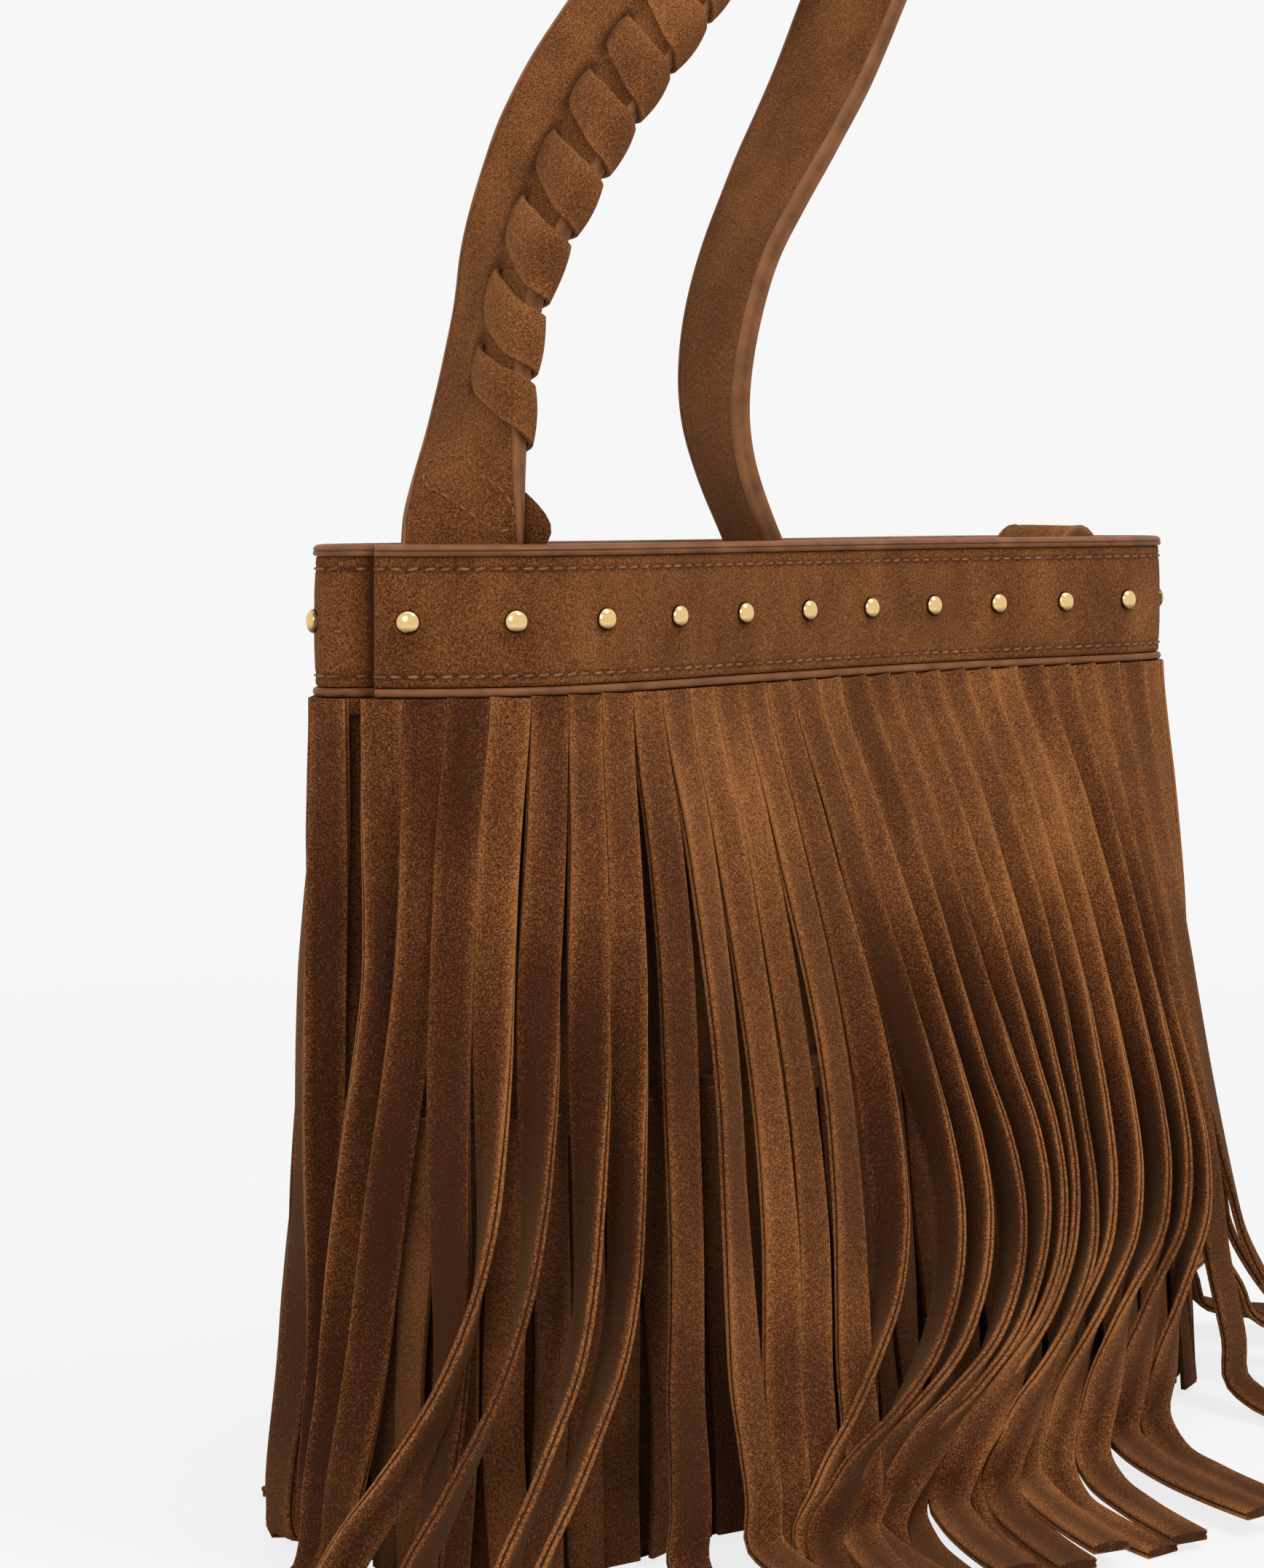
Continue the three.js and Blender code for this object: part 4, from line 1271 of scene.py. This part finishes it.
@dataclass
class Strap:
    """The wide shoulder strap, its painted edges, its lacing and the tabs at its ends.

    Attributes:
        finishes: the bag's finishes.
        base: height of the lip, which the route is measured from.
        thickness: of the strap.
        first_slit: distance along the strap to the first slit.
        slits: how many slits there are.
        pitch: distance from slit to slit.
        lace: width of the lace.
        lace_thickness: of the lace.
        lean: how far along a turn of lace leans between the slit and the edge.
    """

    finishes: Finishes
    base: float = 287.0
    thickness: float = 6.0
    first_slit: float = 97.0
    slits: int = 10
    pitch: float = 23.0
    lace: float = 15.5
    lace_thickness: float = 1.8
    lean: float = 16.0
    far: np.ndarray = field(init=False)
    table: np.ndarray = field(init=False)

    def __post_init__(self) -> None:
        """Works out the centre line with its bearing and width at close steps."""
        spots = STRAP_ROUTE[:, :3] + (0, 0, self.base)
        per_span = 16
        line = rounded_path(spots, per_span)
        place = np.arange(len(line)) / per_span
        low = np.minimum(place.astype(int), len(spots) - 2)
        part = smoothstep(0, 1, place - low)[:, None]
        worded = STRAP_ROUTE[low, 3:] * (1 - part) + STRAP_ROUTE[low + 1, 3:] * part
        rough = np.concatenate([line, worded], axis=1)
        self.table = self._eased(rough, travelled(line))
        self.far = travelled(self.table[:, :3])

    @staticmethod
    def _eased(rows: np.ndarray, far: np.ndarray, reach: float = 9.0) -> np.ndarray:
        """Evens out small wobbles: each row becomes the bell-weighed mean of its neighbours.

        The route is first read at even steps of 1 mm. Its ends keep their places.

        Args:
            rows: the route's samples.
            far: distance along the route of each.
            reach: width of the bell.

        Returns:
            The evened rows, 1 mm apart.
        """
        even = along_rows(np.arange(0.0, far[-1], 1.0), far, rows)
        bell = np.exp(-((np.arange(-30, 31) / reach) ** 2))
        bell = bell / bell.sum()
        padded = np.concatenate([2 * even[:1] - even[30:0:-1], even, 2 * even[-1:] - even[-2:-32:-1]])
        return np.stack([np.convolve(column, bell, mode="valid") for column in padded.T], axis=1)

    @property
    def length(self) -> float:
        """Length of the strap from end to end."""
        return float(self.far[-1])

    def width_at(self, s: np.ndarray) -> np.ndarray:
        """The strap's width at distances along it."""
        return np.interp(s, self.far, self.table[:, 4])

    def frame(self, s: np.ndarray) -> tuple[np.ndarray, np.ndarray, np.ndarray, np.ndarray]:
        """Centre, direction along, direction to the front edge and outward direction.

        The direction to the front edge is the level one at the route's bearing, squared up to
        the strap's own direction. The outward direction is square to both.

        Args:
            s: distances along the strap.

        Returns:
            The four arrays.
        """
        centre = along_rows(s, self.far, self.table[:, :3])
        ahead, behind = (along_rows(s + k, self.far, self.table[:, :3]) for k in (0.8, -0.8))
        along = unit(ahead - behind)
        bearing = np.radians(np.interp(s, self.far, self.table[:, 3]))
        level = np.stack([np.cos(bearing), np.sin(bearing), np.zeros_like(bearing)], axis=-1)
        across = unit(level - along * np.sum(level * along, axis=-1, keepdims=True))
        return centre, along, across, np.cross(across, along)

    def on_strap(self, s: np.ndarray, w: np.ndarray, n: np.ndarray) -> np.ndarray:
        """Point at s along the strap, w towards its front edge and n out of its face."""
        s, w, n = np.broadcast_arrays(s, w, n)
        centre, _, across, out = self.frame(s)
        return centre + across * w[..., None] + out * n[..., None]

    def build(self) -> None:
        """Makes the strap, its painted edges, the lace, the tabs and the stitching."""
        s = np.linspace(0.0, self.length, 420)
        self._suede(s)
        self._edges(s)
        self._lace()
        self._tabs()
        self._patch_stitching()

    def _suede(self, s: np.ndarray) -> None:
        """The strap's suede: a softly crowned slab that dips round each slit.

        The dip is 0.9 * exp(-(distance along / 8)^4) * exp(-(distance across / 1.6)^2).

        Args:
            s: distances along the strap of its cross-sections.
        """
        half = self.thickness / 2
        across = np.linspace(-1.0, 1.0, 27)
        reach = (self.width_at(s) / 2 - 0.25)[:, None] * across
        crown = half - 0.35 * np.abs(across) ** 6
        slit = self._slit_places()
        near = np.min(np.abs(s[:, None] - slit[None]), axis=1)
        dip = 0.9 * np.exp(-((near / 8.0) ** 4))[:, None] * np.exp(-((reach / 1.6) ** 2))
        outer = np.stack([reach, crown[None] - dip], axis=-1)
        inner = np.stack([reach, -crown[None] + dip], axis=-1)[:, ::-1]
        ring = np.concatenate([outer, inner], axis=1)
        rings = self.on_strap(s[:, None], ring[..., 0], ring[..., 1])
        # Painted shadow in each slit, where the lace goes through.
        slit_shadow = np.exp(-((near / 9.0) ** 4))[:, None] * np.exp(-((ring[..., 0] / 2.4) ** 2))
        form = Form.tubes(rings[None], -0.6 * slit_shadow[None])
        made = form.piece("strap_suede", self.finishes.suede, Slot.SUEDE, 60.0)
        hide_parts("shoulder_strap")

    def _edges(self, s: np.ndarray) -> None:
        """The painted edges: a low rounded bead over each cut edge, with a line along it.

        Args:
            s: distances along the strap of its cross-sections.
        """
        half = self.thickness / 2
        upper = [(-0.9, half + 0.02), (-0.1, half + 0.12), (0.45, half - 0.5), (0.62, half - 1.6)]
        lower = [(reach, -height) for reach, height in upper[::-1]]
        reach, height = np.array([*upper, (0.5, 0.0), *lower, (-0.9, 0.0)]).T
        shade = np.array([-0.05, 0.05, 0.05, 0.0, -0.18, 0.0, 0.05, 0.05, -0.05, 0.0])
        edge = self.width_at(s)[:, None] / 2 - 0.2 + reach
        front, rear = (self.on_strap(s[:, None], side * edge, height[None]) for side in (1, -1))
        made = Form.tubes(front[None], shade).joined(Form.tubes(rear[None], shade))
        made.piece("strap_painted_edges", self.finishes.paint, Slot.PAINT)

    def _slit_places(self) -> np.ndarray:
        """Distances along the strap of its slits."""
        return self.first_slit + self.pitch * np.arange(self.slits)

    def _lace(self) -> None:
        """The flat lace, whipped from each slit over the front edge and back to the next slit.

        A turn runs through the stages, each given as its place along the strap from the slit,
        its share of half the strap's width, what it goes past that, and how far out it stands.
        The ribbon is widest in the middle of its turn, with a parabola's crown across it.
        """
        near = self.thickness / 2 + 0.35
        slit = self._slit_places()
        edge = self.width_at(slit - self.lean)[:, None] / 2
        back = (self.pitch + self.lean) / 2
        stages = [
            (0.0, 0.15, 0.0, -0.2), (-0.6, 0.0, 1.4, near + 0.4), (-4.0, 0.22, 0.0, near + 1.5),
            (-8.0, 0.5, 0.0, near + 1.75), (-12.5, 0.8, 0.0, near + 1.35),
            (-15.2, 0.97, 0.9215, near + 0.3), (-16.0, 1.0, 0.95, near - 2.2),
            (-16.4, 1.0, 0.95, -near + 2.2), (-17.0, 0.97, 0.9215, -near - 0.3),
            (-18.5, 0.75, 0.0, -near - 1.1), (-back, 0.4, 0.0, -near - 1.1),
            (-back - 1.5, 0.1, 0.0, -near - 0.6), (-self.pitch, 0.05, 0.0, -0.4),
        ]
        along, part_of_edge, beyond, lift = np.array(stages).T
        place = np.broadcast_arrays(slit[:, None] + along, part_of_edge * edge + beyond, lift)
        dense = rounded_path(np.stack(place, axis=-1), 5)
        lengthways = np.array([1.0, 0.0, 0.0])
        face = -unit(np.cross(unit(np.gradient(dense, axis=1)), lengthways))[:, :, None]
        v = np.linspace(-1.0, 1.0, 11)
        part = np.linspace(0, 1, dense.shape[1])
        share = 0.78 + 0.42 * smoothstep(0.02, 0.4, part) - 0.42 * smoothstep(0.7, 1.0, part)
        reach = v * (self.lace / 2 * share)[:, None]
        middle = dense[:, :, None] + lengthways * reach[..., None]
        thin = self.lace_thickness / 2
        up = middle + face * (thin + 0.9 * (1 - v**2))[:, None]
        down = middle - face * (thin * (0.9 - 0.5 * v**2))[:, None]
        ring = np.concatenate([up, down[:, :, ::-1]], axis=2)
        rings = self.on_strap(ring[..., 0], ring[..., 1], ring[..., 2])
        # The lace is lighter along its borders, has painted shade on its underside and painted shade at
        # the slit where each turn starts; tone differs at random from turn to turn.
        lighter_borders_and_under_shade = np.concatenate([0.13 * v**4, np.full(len(v), -0.1)])
        slit_entry_shade = -0.75 * smoothstep(0.16, 0.0, part)[None, :, None]
        tone = np.random.default_rng(SEED).normal(0, 0.04, self.slits)[:, None, None]
        form = Form.tubes(rings, lighter_borders_and_under_shade + slit_entry_shade + tone)
        made = form.piece("lace_thong", self.finishes.suede, Slot.DARK_SUEDE, 50.0)
        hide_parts("edge_lace")

    def _tabs(self) -> None:
        """The suede tabs behind the strap's ends, each with a rounded top and a soft bulge."""
        for side, node, long in ((0, "strap_tab_left", 66.0), (1, "strap_tab_right", 36.0)):
            up = np.linspace(0.0, 1.0, 26)
            s = up * long if side == 0 else self.length - up * long
            w = self.width_at(s) / 2
            top = np.sqrt(np.clip(1 - np.clip((up - 0.72) / 0.28, 0, 1) ** 2.4, 0.002, 1))
            swell = 9.0 * np.sin(np.pi * smoothstep(0.45, 1.0, up)) if side == 0 else 0 * up
            front = (w - 1.5) * top + swell
            rear = (w - 2.0) * top
            v = np.linspace(0.0, 1.0, 11)
            reach = -rear[:, None] + (front + rear)[:, None] * v
            belly = 0.6 * np.sin(np.pi * v)[None]
            outer = -self.thickness / 2 - 0.5 + 0 * reach
            inner = outer - 2.6 - belly * np.sin(np.pi * up)[:, None]
            ring_w = np.concatenate([reach, reach[:, ::-1]], axis=1)
            ring_n = np.concatenate([outer, inner[:, ::-1]], axis=1)
            rings = self.on_strap(s[:, None], ring_w, ring_n)
            made = Form.tubes(rings[None], -0.03).piece(f"suede_{node}", self.finishes.suede, Slot.SUEDE)
            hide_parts(node)

    def _patch_stitching(self) -> None:
        """The slanted box of stitches that holds the strap's laced end to its tab."""
        box = [
            (0.1, 25.5), (0.36, 26.0), (0.62, 20.0), (0.9, 14.0), (0.95, 5.0),
            (0.83, 3.5), (0.6, 8.0), (0.36, 13.0), (0.13, 17.5), (0.1, 25.5),
        ]
        path = rounded_path(np.array(box), 8)
        bottom = np.interp(self.base, self.table[:100, 2], self.far[:100])
        s = bottom + path[:, 1]
        w = (path[:, 0] - 0.5) * (self.width_at(s) - 1.5)
        line = self.on_strap(s, w, np.full(len(s), self.thickness / 2 - 0.05))
        far = travelled(line)
        at = np.arange(1.5, far[-1], 3.6)
        spot = along_rows(at, far, line)
        ahead = along_rows(at + 0.6, far, line)
        _, _, _, out = self.frame(np.interp(at, far, s))
        row = stitches(spot, unit(ahead - spot + 1e-6), out, 2.6, 0.75)
        row.piece("strap_stitching", self.finishes.thread, Slot.DARK_SUEDE)


# The studio


@dataclass
class Studio:
    """White floor, soft lights and the camera where the photograph was taken.

    Attributes:
        eye: the camera's place.
        yaw: its heading, in degrees from +Y towards +X. It looks level.
        lens: focal length over a 36 mm sensor.
        drop: vertical shift, as a share of the frame's longer side.
    """

    eye: tuple[float, float, float] = (-672.17, -679.82, 300.0)
    yaw: float = 41.85
    lens: float = 69.12
    drop: float = -0.182

    def build(self) -> None:
        """Makes the world, the floor, the lights and the camera."""
        bpy.context.scene.view_settings.view_transform = "Standard"
        self._world()
        self._floor()
        self._light("key", (300, -900, 1700), (0, 0, 200), 800, 15.0)
        self._light("side", (-1400, -700, 900), (0, 0, 250), 900, 8.0)
        self._light("top", (0, 200, 2000), (0, 0, 200), 1500, 7.0)
        self._camera()

    def _world(self) -> None:
        """Even white surroundings, seen as the photograph's pale grey-white."""
        sheet = NodeSheet(bpy.data.worlds.new("studio_world"))
        path = sheet.node("ShaderNodeLightPath").outputs
        seen = sheet.maths("MAXIMUM", path["Is Camera Ray"], path["Is Transmission Ray"])
        shown = sheet.maths("MAXIMUM", seen, path["Is Glossy Ray"])
        lit = sheet.node("ShaderNodeBackground", Color=(1.0, 0.985, 0.96, 1.0), Strength=0.45)
        white = sheet.node("ShaderNodeBackground", Color=linear((247, 247, 247)), Strength=1.0)
        mix = sheet.mixed(shown, lit, white)
        sheet.node("ShaderNodeOutputWorld", Surface=mix.outputs[0])
        bpy.context.scene.world = sheet.owner

    def _floor(self) -> None:
        """A round pale floor that fades into the surroundings away from the bag."""
        turn = np.linspace(0, 2 * np.pi, 96, endpoint=False)
        radii = np.array([1.0, 400.0, 900.0, 1500.0, 2200.0])
        ring = np.stack([np.cos(turn), np.sin(turn)], axis=1)
        flat = ring[None] * radii[:, None, None]
        points = raised(flat).reshape(-1, 3)
        row = np.arange(4)[:, None] * 96
        col = np.arange(96)[None]
        after = (col + 1) % 96
        quads = np.stack([row + col, row + 96 + col, row + 96 + after, row + after], axis=-1)
        mesh = bpy.data.meshes.new("studio_floor")
        faces = quads.reshape(-1, 4).tolist() + [list(range(96))]
        mesh.from_pydata((points * MM).tolist(), [], faces)
        sheet = NodeSheet(bpy.data.materials.new("studio_floor"))
        away = sheet.node("ShaderNodeVectorMath", input_0=sheet.place())
        away.operation = "LENGTH"
        reach = {"From_Min": 0.45, "From_Max": 1.3}
        fade = sheet.node("ShaderNodeMapRange", Value=away.outputs["Value"], **reach)
        fade.interpolation_type = "SMOOTHSTEP"
        path = sheet.node("ShaderNodeLightPath").outputs["Is Camera Ray"]
        matt = sheet.node("ShaderNodeBsdfDiffuse", Color=linear((244, 244, 244)))
        glow = sheet.node("ShaderNodeEmission", Color=linear((248, 248, 248)), Strength=1.0)
        pale = sheet.mixed(sheet.maths("MULTIPLY", path, 0.85), matt, glow)
        mix = sheet.mixed(fade.outputs[0], pale, sheet.node("ShaderNodeBsdfTransparent"))
        sheet.node("ShaderNodeOutputMaterial", Surface=mix.outputs[0])
        mesh.materials.append(sheet.owner)
        floor = bpy.data.objects.new("studio_floor", mesh)
        bpy.context.scene.collection.objects.link(floor)

    @staticmethod
    def _stood(body: bpy.types.Object, sides: Sequence[np.ndarray], place: np.ndarray) -> None:
        """Puts an object in the scene.

        Args:
            body: the object.
            sides: the directions of its own three axes.
            place: where it stands.
        """
        bpy.context.scene.collection.objects.link(body)
        pose = np.eye(4)
        pose[:3, :3] = np.stack(sides, axis=1)
        pose[:3, 3] = place * MM
        body.matrix_world = Matrix(pose.tolist())

    def _light(
        self,
        name: str,
        place: tuple[float, ...],
        target: tuple[float, ...],
        size: float,
        power: float,
    ) -> None:
        """A round soft light that faces a point.

        Args:
            name: the light's name.
            place: where it is.
            target: the point it faces.
            size: its diameter.
            power: its power in watts.
        """
        lamp = bpy.data.lights.new(name, "AREA")
        lamp.shape = "DISK"
        lamp.size = size * MM
        lamp.energy = power
        spot = np.array(place, dtype=float)
        back = unit(spot - np.array(target, dtype=float))
        side = unit(np.cross((0.0, 0.0, 1.0), back))
        self._stood(bpy.data.objects.new(name, lamp), (side, np.cross(back, side), back), spot)

    def _camera(self) -> None:
        """A level camera with its view shifted down to the bag."""
        lens = bpy.data.cameras.new("camera")
        lens.lens = self.lens
        lens.sensor_width = 36.0
        lens.shift_y = self.drop
        lens.clip_start = 0.01
        body = bpy.data.objects.new("camera", lens)
        yaw = np.radians(self.yaw)
        right = np.array([np.cos(yaw), -np.sin(yaw), 0.0])
        back = -np.array([np.sin(yaw), np.cos(yaw), 0.0])
        self._stood(body, (right, np.array([0.0, 0.0, 1.0]), back), np.array(self.eye))
        bpy.context.scene.camera = body


def main() -> None:
    """Builds the bag's finished pieces in order."""
    logging.basicConfig(level=logging.INFO, format="%(name)s %(message)s")
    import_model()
    mouth = Mouth()
    finishes = Finishes()
    Studio().build()
    RimBand(mouth, finishes).build()
    Walls(mouth, finishes).build()
    for half in Half:
        SecondTier(mouth, finishes, half).build()
        Fringe(mouth, finishes, half).build()
    Strap(finishes).build()


if __name__ == "__main__":
    main()
